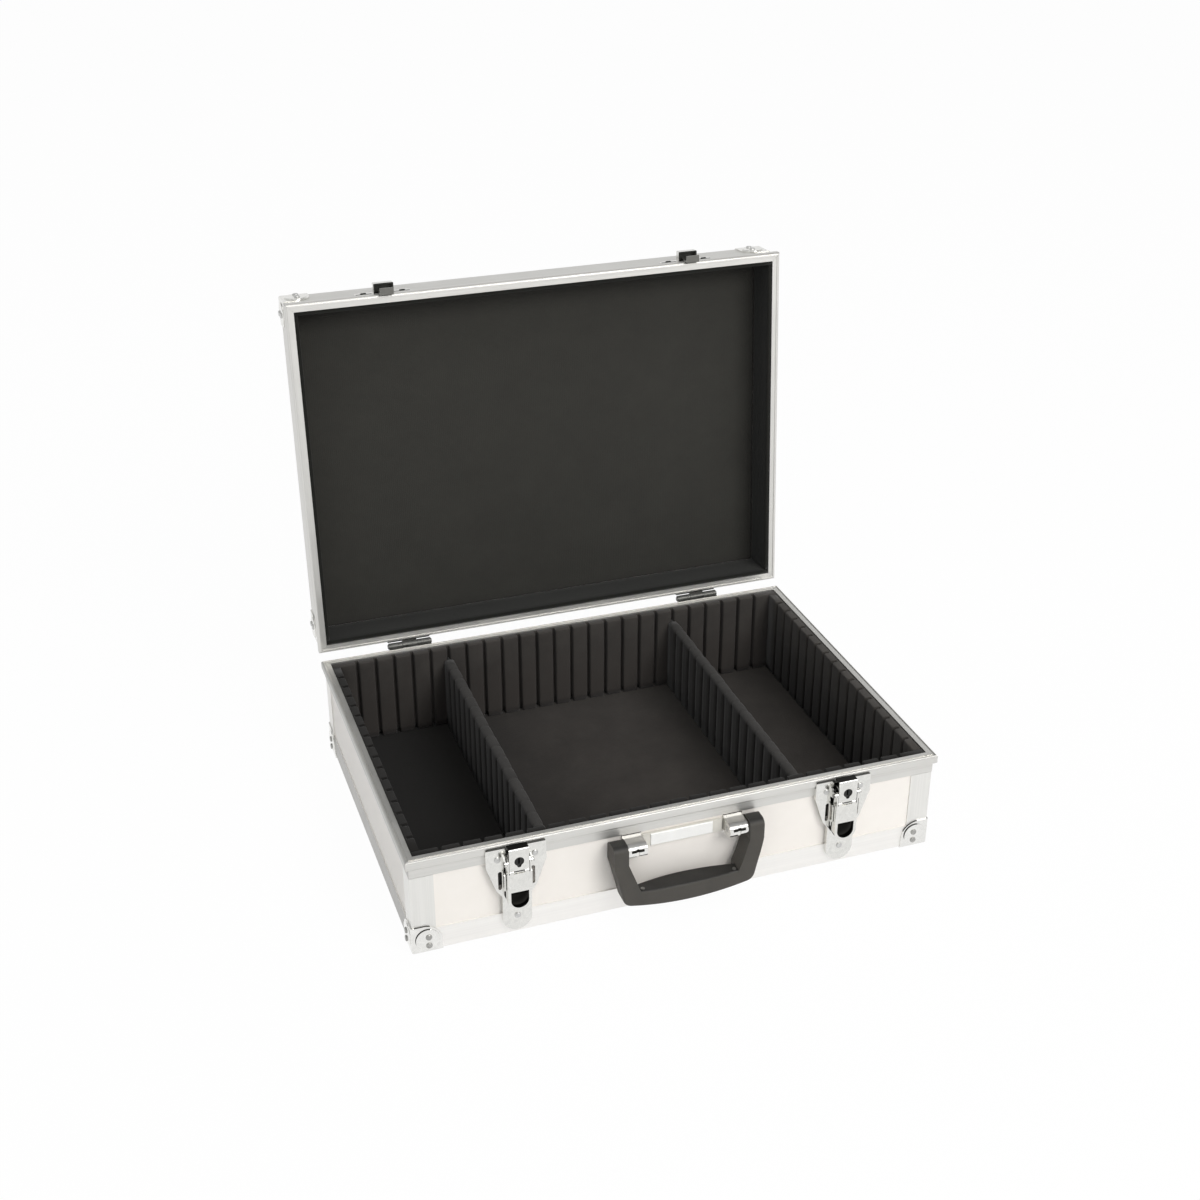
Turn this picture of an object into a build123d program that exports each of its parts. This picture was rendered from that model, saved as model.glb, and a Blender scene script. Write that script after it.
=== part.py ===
from build123d import *
import os

os.makedirs("parts", exist_ok=True)

# All sizes are in millimetres. X runs to the right, the front faces -Y, Z is up.
# Heights are drawn from the bottom panel's underside. Saving raises all by the depth of the
# corner caps below it, so the case stands on Z = 0 with its middle over the origin.
# The lid is drawn shut and is turned open about the hinge axis when it is saved.

# Case
case_width = 425.0
case_depth = 303.0
base_height = 82.0
lid_height = 38.2
seam_gap = 0.3
panel_thickness = 2.5
edge_thickness = 1.0
edge_width = 18.0
edge_round = 0.9
joint_gap = 0.2
fit_gap = 0.3
running_clearance = 0.05
open_angle = 94.6

# Closing rim
nose_out = 2.5
nose_height = 8.0
nose_round = 1.9
flange_height = 16.0
web_thickness = 1.2
lip_thickness = 0.8
lip_height = 4.0
groove_width = 1.8
groove_depth = 0.8
groove_out = 0.2
tongue_width = 1.0
tongue_height = 0.6

# Corner caps
cap_thickness = 1.0
cap_leaf = 23.5
cap_leaf_round = 14.0
cap_edge_round = 1.7
button_radius = 9.2
button_height = 0.8
button_round = 0.7
button_inset = 12.0
cap_rivet_inset = 13.0
cap_rivet_rise_low = 4.6
cap_rivet_rise_high = 12.0

# Rivets
rivet_head_radius = 2.4
rivet_head_height = 1.0
rivet_head_round = 0.8
rivet_radius = 1.4

# Foam lining of the base
floor_foam = 3.0
wall_foam = 8.0
foam_top_gap = 0.8
slot_pitch = 16.0
slot_width = 3.6
slot_depth = 5.0

# Dividers
divider_slot = 6
divider_core = 3.0
divider_face = 3.0
divider_height = 65.0
divider_slot_clearance = 0.5

# Foam lining of the lid
lid_panel_foam = 3.0
lid_wall_foam = 4.0

# Latches, with drops measured down from the top of the base
latch_inset = 81.5
plate_face = 3.8
plate_thickness = 1.2
plate_top_drop = 2.0
plate_top_half = 23.0
plate_shoulder_drop = 18.0
plate_waist_drop = 40.0
plate_waist_half = 15.5
plate_foot_half = 11.2
plate_foot_drop = 46.0
plate_bottom = 4.0
plate_corner_round = 2.5
plate_notch_half = 8.3
plate_notch_drop = 4.6
latch_rivet_half = 14.2
latch_rivet_drop = 12.0
latch_foot_rivet_z = 17.0
latch_front = 13.0
sheet_thickness = 1.2
ear_inner = 9.4
ear_thickness = 1.3
ear_half_height = 4.6
eye_radius = 2.3
guide_out = 9.5
guide_top_drop = 23.0
guide_bottom_drop = 39.0
guide_round = 2.4
window_width = 3.0
window_margin = 0.4
lever_pin_out = 11.0
lever_pin_drop = 12.5
lever_pin_radius = 1.0
lever_pin_head = 1.8
lever_pin_head_height = 0.7
lever_half = 9.05
lever_wall = 1.1
lever_back = 7.5
lever_round_drop = 45.6
thumb_half = 6.8
thumb_top_drop = 38.0
hasp_pin_drop = 20.3
hasp_knuckle = 1.1
hasp_pin_radius = 0.55
hasp_pin_half = 7.4
knuckle_clearance = 0.15
lever_knuckle_in = 4.2
hasp_knuckle_half = 4.0
hasp_half = 7.6
hasp_top_drop = 0.1
hasp_lip_in = 5.9
hasp_lip_thickness = 1.4
hasp_wall_back = 6.5
hasp_wall_top_drop = 6.5
hasp_wall_drop = 18.0
key_drop = 11.0
key_hole_radius = 3.7
key_lobe_radius = 1.6
key_lobe_drop = 3.6
barrel_flange_radius = 4.9
barrel_flange_thickness = 1.1
barrel_recess = 0.8
barrel_back = 6.2
key_slot_width = 1.2
key_slot_length = 5.0
key_slot_depth = 3.0

# Strikes
strike_half = 23.0
strike_rise = 8.4
strike_thickness = 1.3
strike_half_tongue = 5.5
strike_reach = 3.8
strike_hook_out = 8.4
strike_hook_thickness = 1.4
strike_clearance = 0.4
strike_corner_round = 2.5
strike_rivet_half = 16.0
strike_step = 1.4
hood_half = 8.2
hood_out = 8.6
hood_length = 5.4
hood_wall = 1.2
hood_round = 0.8

# Hinges
hinge_inset = 78.5
hinge_width = 37.0
hinge_axis_out = 4.1
hinge_knuckle = 2.9
hinge_pin_radius = 1.2
hinge_pin_head = 1.9
hinge_pin_head_height = 0.8
hinge_centre_half = 6.35
hinge_gap = 0.3
hinge_leaf = 1.3
hinge_leaf_clearance = 0.2
hinge_notch = 3.1
hinge_rivet_half = 11.5
rivet_in_flange = 12.8

# Handle, with drops measured down from its pins
handle_drop = 24.0
handle_pin_out = 10.0
handle_pin_radius = 2.5
handle_half_top = 60.0
handle_half_bottom = 52.0
handle_bend_drop = 8.0
handle_bottom_drop = 43.5
handle_bow = 6.0
handle_arm = 11.5
handle_arm_rise = 8.0
handle_arm_depth = 15.6
handle_arm_round = 5.0
grip_back = 4.5
grip_front = 20.0
grip_end_back = 10.5
grip_half = 39.5
grip_top_drop = 32.5
grip_sag = 1.5
grip_shoulder_drop = 24.0
grip_round = 2.0
handle_corner_round = 8.0
handle_edge_round = 1.6
handle_bore_depth = 8.5
screw_radius = 1.5
screw_depth = 5.0
screw_half = 37.0
screw_out = 16.5
screw_rise = 0.5
bracket_inner = 33.0
bracket_radius = 6.0
bracket_foot = 1.5
bracket_foot_half = 7.5
bracket_groove_height = 2.4
bracket_groove_depth = 1.4
bracket_groove_margin = 2.8
bracket_groove_rise = 1.4
carrier_thickness = 2.2
carrier_half_height = 5.6
name_plate_left = 26.0
name_plate_right = 24.0
name_plate_thickness = 1.0
name_plate_margin = 0.5
name_plate_chamfer = 0.4

# Sizes that follow from the ones above
half_width = case_width / 2 - nose_out
half_depth = case_depth / 2 - nose_out
panel_half_width = half_width - edge_thickness
panel_half_depth = half_depth - edge_thickness
inner_half_width = panel_half_width - panel_thickness
inner_half_depth = panel_half_depth - panel_thickness
lid_seam = base_height + seam_gap
lid_top = base_height + lid_height
hinge_z = base_height + seam_gap / 2
hinge_y = half_depth + nose_out + hinge_axis_out
panel_top = base_height - web_thickness - joint_gap
lid_panel_bottom = lid_seam + web_thickness + joint_gap
foam_top = base_height - foam_top_gap
floor_top = panel_thickness + floor_foam
cut_length = 2 * case_width
cut_gap = 0.1
mitre_angle = 45.0
quarter_turn = 90.0
corners = [(-1, -1), (1, -1), (1, 1), (-1, 1)]
sides = (-1, 1)
latch_x = case_width / 2 - latch_inset
plate_top = base_height - plate_top_drop
plate_shoulder_z = base_height - plate_shoulder_drop
plate_waist_z = base_height - plate_waist_drop
plate_foot_z = base_height - plate_foot_drop
plate_notch_z = base_height - plate_notch_drop
latch_rivet_z = base_height - latch_rivet_drop
guide_top = base_height - guide_top_drop
guide_bottom = base_height - guide_bottom_drop
lever_pin_z = base_height - lever_pin_drop
lever_round_z = base_height - lever_round_drop
thumb_top = base_height - thumb_top_drop
hasp_pin_z = base_height - hasp_pin_drop
hasp_top = base_height - hasp_top_drop
hasp_wall_top = base_height - hasp_wall_top_drop
hasp_wall_z = base_height - hasp_wall_drop
key_z = base_height - key_drop
hinge_x = case_width / 2 - hinge_inset
handle_z = base_height - handle_drop
handle_bend_z = handle_z - handle_bend_drop
handle_bottom = handle_z - handle_bottom_drop
grip_top = handle_z - grip_top_drop
grip_shoulder_z = handle_z - grip_shoulder_drop
base_pose = Pos(0, 0, edge_thickness + cap_thickness)
lid_pose = (
    base_pose * Pos(0, hinge_y, hinge_z) * Rot(-open_angle, 0, 0) * Pos(0, -hinge_y, -hinge_z)
)


def save(piece, name, pose):
    placed = piece.moved(pose)
    placed.label = name
    export_step(placed, "parts/" + name + ".step")


def front_plane(x=0.0, z=0.0):
    return Plane(origin=(x, -panel_half_depth, z), x_dir=(1, 0, 0), z_dir=(0, -1, 0))


def rear_plane(x=0.0, z=0.0):
    return Plane(origin=(x, panel_half_depth, z), x_dir=(-1, 0, 0), z_dir=(0, 1, 0))


def side_plane(side, y=0.0, z=0.0):
    return Plane(origin=(side * panel_half_width, y, z), x_dir=(0, side, 0), z_dir=(side, 0, 0))


# Local x is the way out from the front panel's face, local y is up.
def front_section(x):
    return Plane(origin=(x, -panel_half_depth, 0), x_dir=(0, -1, 0), z_dir=(-1, 0, 0))


# Local x is the way out from the rear panel's face, local y is up.
def rear_section(x):
    return Plane(origin=(x, panel_half_depth, 0), x_dir=(0, 1, 0), z_dir=(1, 0, 0))


def drill(planes, radius):
    for plane in planes:
        with Locations(plane):
            Cylinder(radius, 2 * cap_leaf, mode=Mode.SUBTRACT)


def rivet(shank):
    with BuildPart() as one_rivet:
        Cylinder(rivet_head_radius, rivet_head_height, align=(Align.CENTER, Align.CENTER, Align.MIN))
        fillet(one_rivet.edges().group_by(Axis.Z)[-1], rivet_head_round)
        Cylinder(rivet_radius, shank, align=(Align.CENTER, Align.CENTER, Align.MAX))
    return one_rivet.part


def wall_panel(x_low, x_high, y_low, y_high, z_low, z_high):
    with Locations(((x_low + x_high) / 2, (y_low + y_high) / 2, (z_low + z_high) / 2)):
        Box(x_high - x_low, y_high - y_low, z_high - z_low)


def mitre_cuts(middle):
    for side_x, side_y in corners:
        corner = (side_x * half_width, side_y * half_depth, middle)
        with Locations(Location(corner, (0, 0, mitre_angle * side_x * side_y))):
            Box(2 * cap_leaf, cut_gap, 2 * edge_width + lid_height, mode=Mode.SUBTRACT)


def edge_path(z):
    return Polyline(
        (0, -half_depth, z),
        (-half_width, -half_depth, z),
        (-half_width, half_depth, z),
        (half_width, half_depth, z),
        (half_width, -half_depth, z),
        (0, -half_depth, z),
    )


# Places of the fasteners that go through the walls
latch_rivet_places = [
    (side * latch_x + offset, z)
    for side in sides
    for offset, z in (
        (-latch_rivet_half, latch_rivet_z),
        (latch_rivet_half, latch_rivet_z),
        (0.0, latch_foot_rivet_z),
    )
]
strike_rivet_places = [
    (side * latch_x + offset, lid_seam + rivet_in_flange)
    for side in sides
    for offset in (-strike_rivet_half, strike_rivet_half)
]
hinge_rivet_places = [
    (side * hinge_x + offset) for side in sides for offset in (-hinge_rivet_half, hinge_rivet_half)
]
latch_planes = [front_plane(x, z) for x, z in latch_rivet_places]
strike_planes = [front_plane(x, z) for x, z in strike_rivet_places]
base_hinge_planes = [rear_plane(x, base_height - rivet_in_flange) for x in hinge_rivet_places]
lid_hinge_planes = [rear_plane(x, lid_seam + rivet_in_flange) for x in hinge_rivet_places]


def cap_rivet_planes(heights):
    planes = []
    for side_x, side_y in corners:
        x = side_x * (half_width + cap_thickness - cap_rivet_inset)
        y = side_y * (half_depth + cap_thickness - cap_rivet_inset)
        for z in heights:
            planes.append(front_plane(x, z) if side_y < 0 else rear_plane(x, z))
            planes.append(side_plane(side_x, y, z))
    return planes


cap_rivet_rises = (cap_rivet_rise_low, cap_rivet_rise_high)
base_cap_planes = cap_rivet_planes(cap_rivet_rises)
lid_cap_planes = cap_rivet_planes([lid_top - rise for rise in cap_rivet_rises])
hole_radius = rivet_radius + running_clearance

# Panels of the base
with BuildPart() as bottom_panel:
    wall_panel(-panel_half_width, panel_half_width, -panel_half_depth, panel_half_depth, 0, panel_thickness)

base_walls = (panel_thickness, panel_top)

with BuildPart() as front_panel:
    wall_panel(-panel_half_width, panel_half_width, -panel_half_depth, -inner_half_depth, *base_walls)
    drill(latch_planes + base_cap_planes, hole_radius)

with BuildPart() as rear_panel:
    wall_panel(-panel_half_width, panel_half_width, inner_half_depth, panel_half_depth, *base_walls)
    drill(base_hinge_planes + base_cap_planes, hole_radius)

with BuildPart() as left_panel:
    wall_panel(-panel_half_width, -inner_half_width, -inner_half_depth, inner_half_depth, *base_walls)
    drill(base_cap_planes, hole_radius)

with BuildPart() as right_panel:
    wall_panel(inner_half_width, panel_half_width, -inner_half_depth, inner_half_depth, *base_walls)
    drill(base_cap_planes, hole_radius)

# Panels of the lid
lid_ceiling = lid_top - panel_thickness
lid_walls = (lid_panel_bottom, lid_ceiling)

with BuildPart() as lid_top_panel:
    wall_panel(
        -panel_half_width, panel_half_width, -panel_half_depth, panel_half_depth, lid_ceiling, lid_top
    )

with BuildPart() as lid_front_panel:
    wall_panel(-panel_half_width, panel_half_width, -panel_half_depth, -inner_half_depth, *lid_walls)
    drill(strike_planes + lid_cap_planes, hole_radius)

with BuildPart() as lid_rear_panel:
    wall_panel(-panel_half_width, panel_half_width, inner_half_depth, panel_half_depth, *lid_walls)
    drill(lid_hinge_planes + lid_cap_planes, hole_radius)

with BuildPart() as lid_left_panel:
    wall_panel(-panel_half_width, -inner_half_width, -inner_half_depth, inner_half_depth, *lid_walls)
    drill(lid_cap_planes, hole_radius)

with BuildPart() as lid_right_panel:
    wall_panel(inner_half_width, panel_half_width, -inner_half_depth, inner_half_depth, *lid_walls)
    drill(lid_cap_planes, hole_radius)


# Closing rims: a channel over the panels' edges with a rounded nose outside
def rim_section(seam, up):
    lip_in = -edge_thickness - panel_thickness - lip_thickness
    section = Plane(origin=(0, -half_depth, seam), x_dir=(0, -1, 0), z_dir=(-1, 0, 0))
    with BuildSketch(section) as profile:
        with BuildLine():
            Polyline(
                (lip_in, 0),
                (nose_out, 0),
                (nose_out, up * nose_height),
                (0, up * nose_height),
                (0, up * flange_height),
                (-edge_thickness, up * flange_height),
                (-edge_thickness, up * web_thickness),
                (-edge_thickness - panel_thickness, up * web_thickness),
                (-edge_thickness - panel_thickness, up * lip_height),
                (lip_in, up * lip_height),
                close=True,
            )
        make_face()
        fillet(profile.vertices().group_by(Axis.X)[-1], nose_round)
        if up < 0:
            with Locations((groove_out, 0)):
                Rectangle(groove_width, 2 * groove_depth, mode=Mode.SUBTRACT)
        else:
            with Locations((groove_out, 0)):
                Rectangle(tongue_width, 2 * tongue_height)
    return profile.sketch


with BuildPart() as base_rim:
    with BuildLine() as base_rim_path:
        edge_path(base_height)
    sweep(sections=rim_section(base_height, -1), path=base_rim_path.wire(), transition=Transition.RIGHT)
    mitre_cuts(base_height)
    drill(latch_planes + base_hinge_planes, hole_radius)

with BuildPart() as lid_rim:
    with BuildLine() as lid_rim_path:
        edge_path(lid_seam)
    sweep(sections=rim_section(lid_seam, 1), path=lid_rim_path.wire(), transition=Transition.RIGHT)
    mitre_cuts(lid_seam)
    drill(strike_planes + lid_hinge_planes, hole_radius)


# Angle lengths along the outer edges
def angle_section(face, leg, up):
    section = Plane(origin=(0, -half_depth, face), x_dir=(0, -1, 0), z_dir=(-1, 0, 0))
    with BuildSketch(section) as profile:
        with BuildLine():
            Polyline(
                (0, -up * edge_thickness),
                (0, up * leg),
                (-edge_thickness, up * leg),
                (-edge_thickness, 0),
                (-edge_width, 0),
                (-edge_width, -up * edge_thickness),
                close=True,
            )
        make_face()
        outer = profile.vertices().sort_by_distance((0, -up * edge_thickness))[0]
        fillet(outer, edge_round)
    return profile.sketch


with BuildPart() as base_bottom_edges:
    with BuildLine() as bottom_path:
        edge_path(0)
    sweep(sections=angle_section(0, edge_width, 1), path=bottom_path.wire(), transition=Transition.RIGHT)
    mitre_cuts(0)
    drill(base_cap_planes + latch_planes, hole_radius)

lid_leg = lid_top - lid_seam - flange_height - joint_gap

with BuildPart() as lid_top_edges:
    with BuildLine() as top_path:
        edge_path(lid_top)
    sweep(sections=angle_section(lid_top, lid_leg, -1), path=top_path.wire(), transition=Transition.RIGHT)
    mitre_cuts(lid_top)
    drill(lid_cap_planes, hole_radius)

post_bottom = edge_width + joint_gap
post_height = base_height - flange_height - joint_gap - post_bottom

with BuildPart() as base_corner_posts:
    with BuildSketch(Plane.XY.offset(post_bottom)):
        for side_x, side_y in corners:
            with BuildLine():
                Polyline(
                    (side_x * half_width, side_y * half_depth),
                    (side_x * (half_width - edge_width), side_y * half_depth),
                    (side_x * (half_width - edge_width), side_y * panel_half_depth),
                    (side_x * panel_half_width, side_y * panel_half_depth),
                    (side_x * panel_half_width, side_y * (half_depth - edge_width)),
                    (side_x * half_width, side_y * (half_depth - edge_width)),
                    close=True,
                )
            make_face()
    extrude(amount=post_height)
    upright = base_corner_posts.edges().filter_by(Axis.Z)
    outermost_first = upright.sort_by(lambda edge: -abs(edge.center().X) - abs(edge.center().Y))
    fillet(outermost_first[: len(corners)], edge_round)


# Corner caps: three rounded leaves with a pressed button under the rivets of the two upright ones
def corner_cap():
    leaf = cap_leaf
    with BuildPart() as cap:
        Box(leaf, leaf, leaf, align=(Align.MAX, Align.MAX, Align.MIN))
        tip = Vertex(0, 0, 0)
        tip_edges = cap.edges().filter_by(lambda edge: edge.distance_to(tip) < running_clearance)
        fillet(tip_edges, cap_edge_round)
        with Locations((-cap_thickness, -cap_thickness, cap_thickness)):
            Box(leaf, leaf, leaf, align=(Align.MAX, Align.MAX, Align.MIN), mode=Mode.SUBTRACT)
        far_corners = [
            Vertex(-cap_thickness / 2, -leaf, leaf),
            Vertex(-leaf, -cap_thickness / 2, leaf),
            Vertex(-leaf, -leaf, cap_thickness / 2),
        ]
        far_edges = [cap.edges().sort_by_distance(corner)[0] for corner in far_corners]
        fillet(far_edges, cap_leaf_round)
        for out, along in (((1, 0, 0), (0, -1)), ((0, 1, 0), (-1, 0))):
            face = Plane(origin=(along[0] * button_inset, along[1] * button_inset, button_inset), z_dir=out)
            with Locations(face):
                Cylinder(button_radius, button_height, align=(Align.CENTER, Align.CENTER, Align.MIN))
            for rise in cap_rivet_rises:
                rivet_z = rise + edge_thickness + cap_thickness
                hole_origin = (along[0] * cap_rivet_inset, along[1] * cap_rivet_inset, rivet_z)
                with Locations(Plane(origin=hole_origin, z_dir=out)):
                    Cylinder(hole_radius, 2 * edge_width, mode=Mode.SUBTRACT)
        rounds = cap.edges().filter_by(GeomType.CIRCLE)
        rims = rounds.filter_by(lambda edge: abs(edge.radius - button_radius) < cut_gap)
        tops = rims.filter_by(lambda edge: max(edge.center().X, edge.center().Y) > button_height / 2)
        fillet(tops, button_round)
    return cap.part


one_cap = corner_cap()
cap_x = half_width + cap_thickness
cap_y = half_depth + cap_thickness
cap_drop = edge_thickness + cap_thickness


def placed_caps(z, up):
    placed = []
    for side_x, side_y in corners:
        cap = one_cap
        if side_x < 0:
            cap = mirror(cap, about=Plane.YZ, mode=Mode.PRIVATE)
        if side_y < 0:
            cap = mirror(cap, about=Plane.XZ, mode=Mode.PRIVATE)
        if up < 0:
            cap = mirror(cap, about=Plane.XY, mode=Mode.PRIVATE)
        placed.append(cap.moved(Pos(side_x * cap_x, side_y * cap_y, z)))
    return placed


with BuildPart() as base_corner_caps:
    add(placed_caps(-cap_drop, 1))

with BuildPart() as lid_corner_caps:
    add(placed_caps(lid_top + cap_drop, -1))

# Rivets
cap_rivet_height = cap_drop + button_height
cap_rivet = rivet(cap_rivet_height + panel_thickness)
plate_rivet = rivet(plate_face + plate_thickness + panel_thickness)
strike_rivet = rivet(edge_thickness + strike_thickness + panel_thickness)
hinge_rivet = rivet(edge_thickness + hinge_leaf + panel_thickness)


def raised(planes, height):
    return [plane.offset(height) for plane in planes]


with BuildPart() as base_cap_rivets:
    with Locations(*raised(base_cap_planes, cap_rivet_height)):
        add(cap_rivet)

with BuildPart() as lid_cap_rivets:
    with Locations(*raised(lid_cap_planes, cap_rivet_height)):
        add(cap_rivet)

with BuildPart() as latch_rivets:
    with Locations(*raised(latch_planes, plate_face + plate_thickness)):
        add(plate_rivet)

with BuildPart() as strike_rivets:
    with Locations(*raised(strike_planes, edge_thickness + strike_thickness)):
        add(strike_rivet)

with BuildPart() as hinge_base_rivets:
    with Locations(*raised(base_hinge_planes, edge_thickness + hinge_leaf)):
        add(hinge_rivet)

with BuildPart() as hinge_lid_rivets:
    with Locations(*raised(lid_hinge_planes, edge_thickness + hinge_leaf)):
        add(hinge_rivet)

# Foam lining of the base, rebated for the rim's inner lip
liner_half_width = inner_half_width - wall_foam
liner_half_depth = inner_half_depth - wall_foam
front_slots = 2 * int(liner_half_width / slot_pitch)
side_slots = 2 * int(liner_half_depth / slot_pitch)
divider_slots = side_slots + 2
rebate_width = 2 * (lip_thickness + fit_gap)
rebate_height = 2 * (lip_height + fit_gap)

with BuildPart() as floor_liner:
    wall_panel(
        -inner_half_width, inner_half_width, -inner_half_depth, inner_half_depth, panel_thickness, floor_top
    )


def long_liner(side):
    with BuildPart() as liner:
        near = side * inner_half_depth
        far = side * liner_half_depth
        wall_panel(-inner_half_width, inner_half_width, min(near, far), max(near, far), floor_top, foam_top)
        with Locations((0, far, floor_top)):
            with GridLocations(slot_pitch, 1, front_slots, 1):
                Box(slot_width, 2 * slot_depth, 2 * base_height, mode=Mode.SUBTRACT)
        with Locations((0, near, base_height)):
            Box(cut_length, rebate_width, rebate_height, mode=Mode.SUBTRACT)
        for end in sides:
            with Locations((end * inner_half_width, 0, base_height)):
                Box(rebate_width, cut_length, rebate_height, mode=Mode.SUBTRACT)
    return liner.part


def short_liner(side):
    with BuildPart() as liner:
        near = side * inner_half_width
        far = side * liner_half_width
        end = liner_half_depth - joint_gap
        wall_panel(min(near, far), max(near, far), -end, end, floor_top, foam_top)
        with Locations((far, 0, floor_top)):
            with GridLocations(1, slot_pitch, 1, side_slots):
                Box(2 * slot_depth, slot_width, 2 * base_height, mode=Mode.SUBTRACT)
        with Locations((near, 0, base_height)):
            Box(rebate_width, cut_length, rebate_height, mode=Mode.SUBTRACT)
    return liner.part


front_liner = long_liner(-1)
rear_liner = long_liner(1)
left_liner = short_liner(-1)
right_liner = short_liner(1)

# Dividers: a thin core whose ends slide in the slots, with ribbed foam on both faces
divider_x = (divider_slot + 1 / 2) * slot_pitch
divider_reach = 2 * (liner_half_depth + slot_depth - divider_slot_clearance)


def divider(x):
    with BuildPart() as wall:
        with Locations((x, 0, floor_top + fit_gap)):
            Box(
                divider_core + 2 * divider_face,
                2 * (liner_half_depth - divider_slot_clearance),
                divider_height,
                align=(Align.CENTER, Align.CENTER, Align.MIN),
            )
            for face in sides:
                with Locations((face * (divider_core / 2 + divider_face), 0, 0)):
                    with GridLocations(1, slot_pitch, 1, divider_slots):
                        Box(2 * divider_face, slot_width, 2 * base_height, mode=Mode.SUBTRACT)
            Box(
                divider_core,
                divider_reach,
                divider_height,
                align=(Align.CENTER, Align.CENTER, Align.MIN),
            )
    return wall.part


divider_left = divider(-divider_x)
divider_right = divider(divider_x)

# Foam lining of the lid
lid_foam_bottom = lid_seam + foam_top_gap
lid_foam_top = lid_ceiling - lid_panel_foam
lid_foam_span = (lid_foam_bottom, lid_foam_top)

with BuildPart() as lid_liner_panel:
    wall_panel(
        -inner_half_width, inner_half_width, -inner_half_depth, inner_half_depth, lid_foam_top, lid_ceiling
    )

with BuildPart() as lid_liner_walls:
    for side in sides:
        near = side * inner_half_depth
        far = side * (inner_half_depth - lid_wall_foam)
        wall_panel(-inner_half_width, inner_half_width, min(near, far), max(near, far), *lid_foam_span)
    for side in sides:
        near = side * inner_half_width
        far = side * (inner_half_width - lid_wall_foam)
        end = inner_half_depth - lid_wall_foam - joint_gap
        wall_panel(min(near, far), max(near, far), -end, end, *lid_foam_span)
    for side in sides:
        with Locations((0, side * inner_half_depth, lid_seam)):
            Box(cut_length, rebate_width, rebate_height, mode=Mode.SUBTRACT)
        with Locations((side * inner_half_width, 0, lid_seam)):
            Box(rebate_width, cut_length, rebate_height, mode=Mode.SUBTRACT)

# Latches: a pressed plate with two ears, a lever on the ears and a hasp on the lever
plate_front = plate_face + plate_thickness
plate_back = edge_thickness
plate_round = plate_foot_half - running_clearance
knuckle_out = latch_front - hasp_knuckle
lever_top = hasp_pin_z - hasp_knuckle - knuckle_clearance
hasp_bottom = hasp_pin_z + hasp_knuckle + knuckle_clearance
wall_inside = latch_front - sheet_thickness


def latch_plate(x):
    outline = [
        (-plate_top_half, plate_top),
        (-plate_top_half, plate_shoulder_z),
        (-plate_waist_half, plate_waist_z),
        (-plate_foot_half, plate_foot_z),
        (-plate_foot_half, plate_bottom),
        (plate_foot_half, plate_bottom),
        (plate_foot_half, plate_foot_z),
        (plate_waist_half, plate_waist_z),
        (plate_top_half, plate_shoulder_z),
        (plate_top_half, plate_top),
    ]
    with BuildPart() as plate:
        with BuildSketch(front_plane(x).offset(plate_back)) as shield:
            with BuildLine():
                Polyline(*outline, close=True)
            make_face()
            fillet(shield.vertices().group_by(Axis.Y)[0], plate_round)
            fillet(shield.vertices().group_by(Axis.Y)[-1], plate_corner_round)
        extrude(amount=plate_front - plate_back)
        with BuildSketch(front_plane(x).offset(plate_back)):
            offset(shield.sketch_local, amount=-plate_thickness)
        extrude(amount=plate_face - plate_back, mode=Mode.SUBTRACT)
        nose_bottom = base_height - nose_height - fit_gap
        nose_room = edge_thickness + nose_out + joint_gap
        with Locations(front_plane(x, nose_bottom)):
            Box(
                2 * cap_leaf,
                2 * (base_height - nose_bottom),
                nose_room,
                align=(Align.CENTER, Align.MIN, Align.MIN),
                mode=Mode.SUBTRACT,
            )
        with Locations(front_plane(x, plate_notch_z)):
            Box(
                2 * plate_notch_half,
                nose_height,
                latch_front,
                align=(Align.CENTER, Align.MIN, Align.MIN),
                mode=Mode.SUBTRACT,
            )
        for side in sides:
            start = x + side * ear_inner + (ear_thickness if side > 0 else 0)
            with BuildSketch(front_section(start)):
                with BuildLine():
                    Polyline(
                        (plate_face, lever_pin_z - ear_half_height),
                        (lever_pin_out, lever_pin_z - eye_radius),
                        (lever_pin_out, lever_pin_z + eye_radius),
                        (plate_face, lever_pin_z + ear_half_height),
                        close=True,
                    )
                make_face()
                with Locations((lever_pin_out, lever_pin_z)):
                    Circle(eye_radius)
                    Circle(lever_pin_radius + running_clearance, mode=Mode.SUBTRACT)
            extrude(amount=ear_thickness)
            with BuildSketch(front_section(start)) as guide:
                with BuildLine():
                    Polyline(
                        (plate_face, guide_bottom),
                        (guide_out, guide_bottom),
                        (guide_out, guide_top),
                        (plate_face, guide_top),
                        close=True,
                    )
                make_face()
                fillet(guide.vertices().group_by(Axis.X)[-1], guide_round)
            extrude(amount=ear_thickness)
            window_x = side * (ear_inner + ear_thickness + window_margin + window_width / 2)
            window_z = (guide_top + guide_bottom) / 2
            with BuildSketch(front_plane(x + window_x, window_z).offset(plate_face)):
                SlotOverall(guide_top - guide_bottom, window_width, rotation=quarter_turn)
            extrude(amount=plate_thickness, mode=Mode.SUBTRACT)
        drill(latch_planes, hole_radius)
    return plate.part


def lever_outline(shrink, top):
    half = lever_half - shrink
    with BuildLine() as outline:
        Polyline((-half, lever_round_z), (-half, top), (half, top), (half, lever_round_z))
        RadiusArc((half, lever_round_z), (-half, lever_round_z), half)
    make_face(outline.edges())


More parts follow.
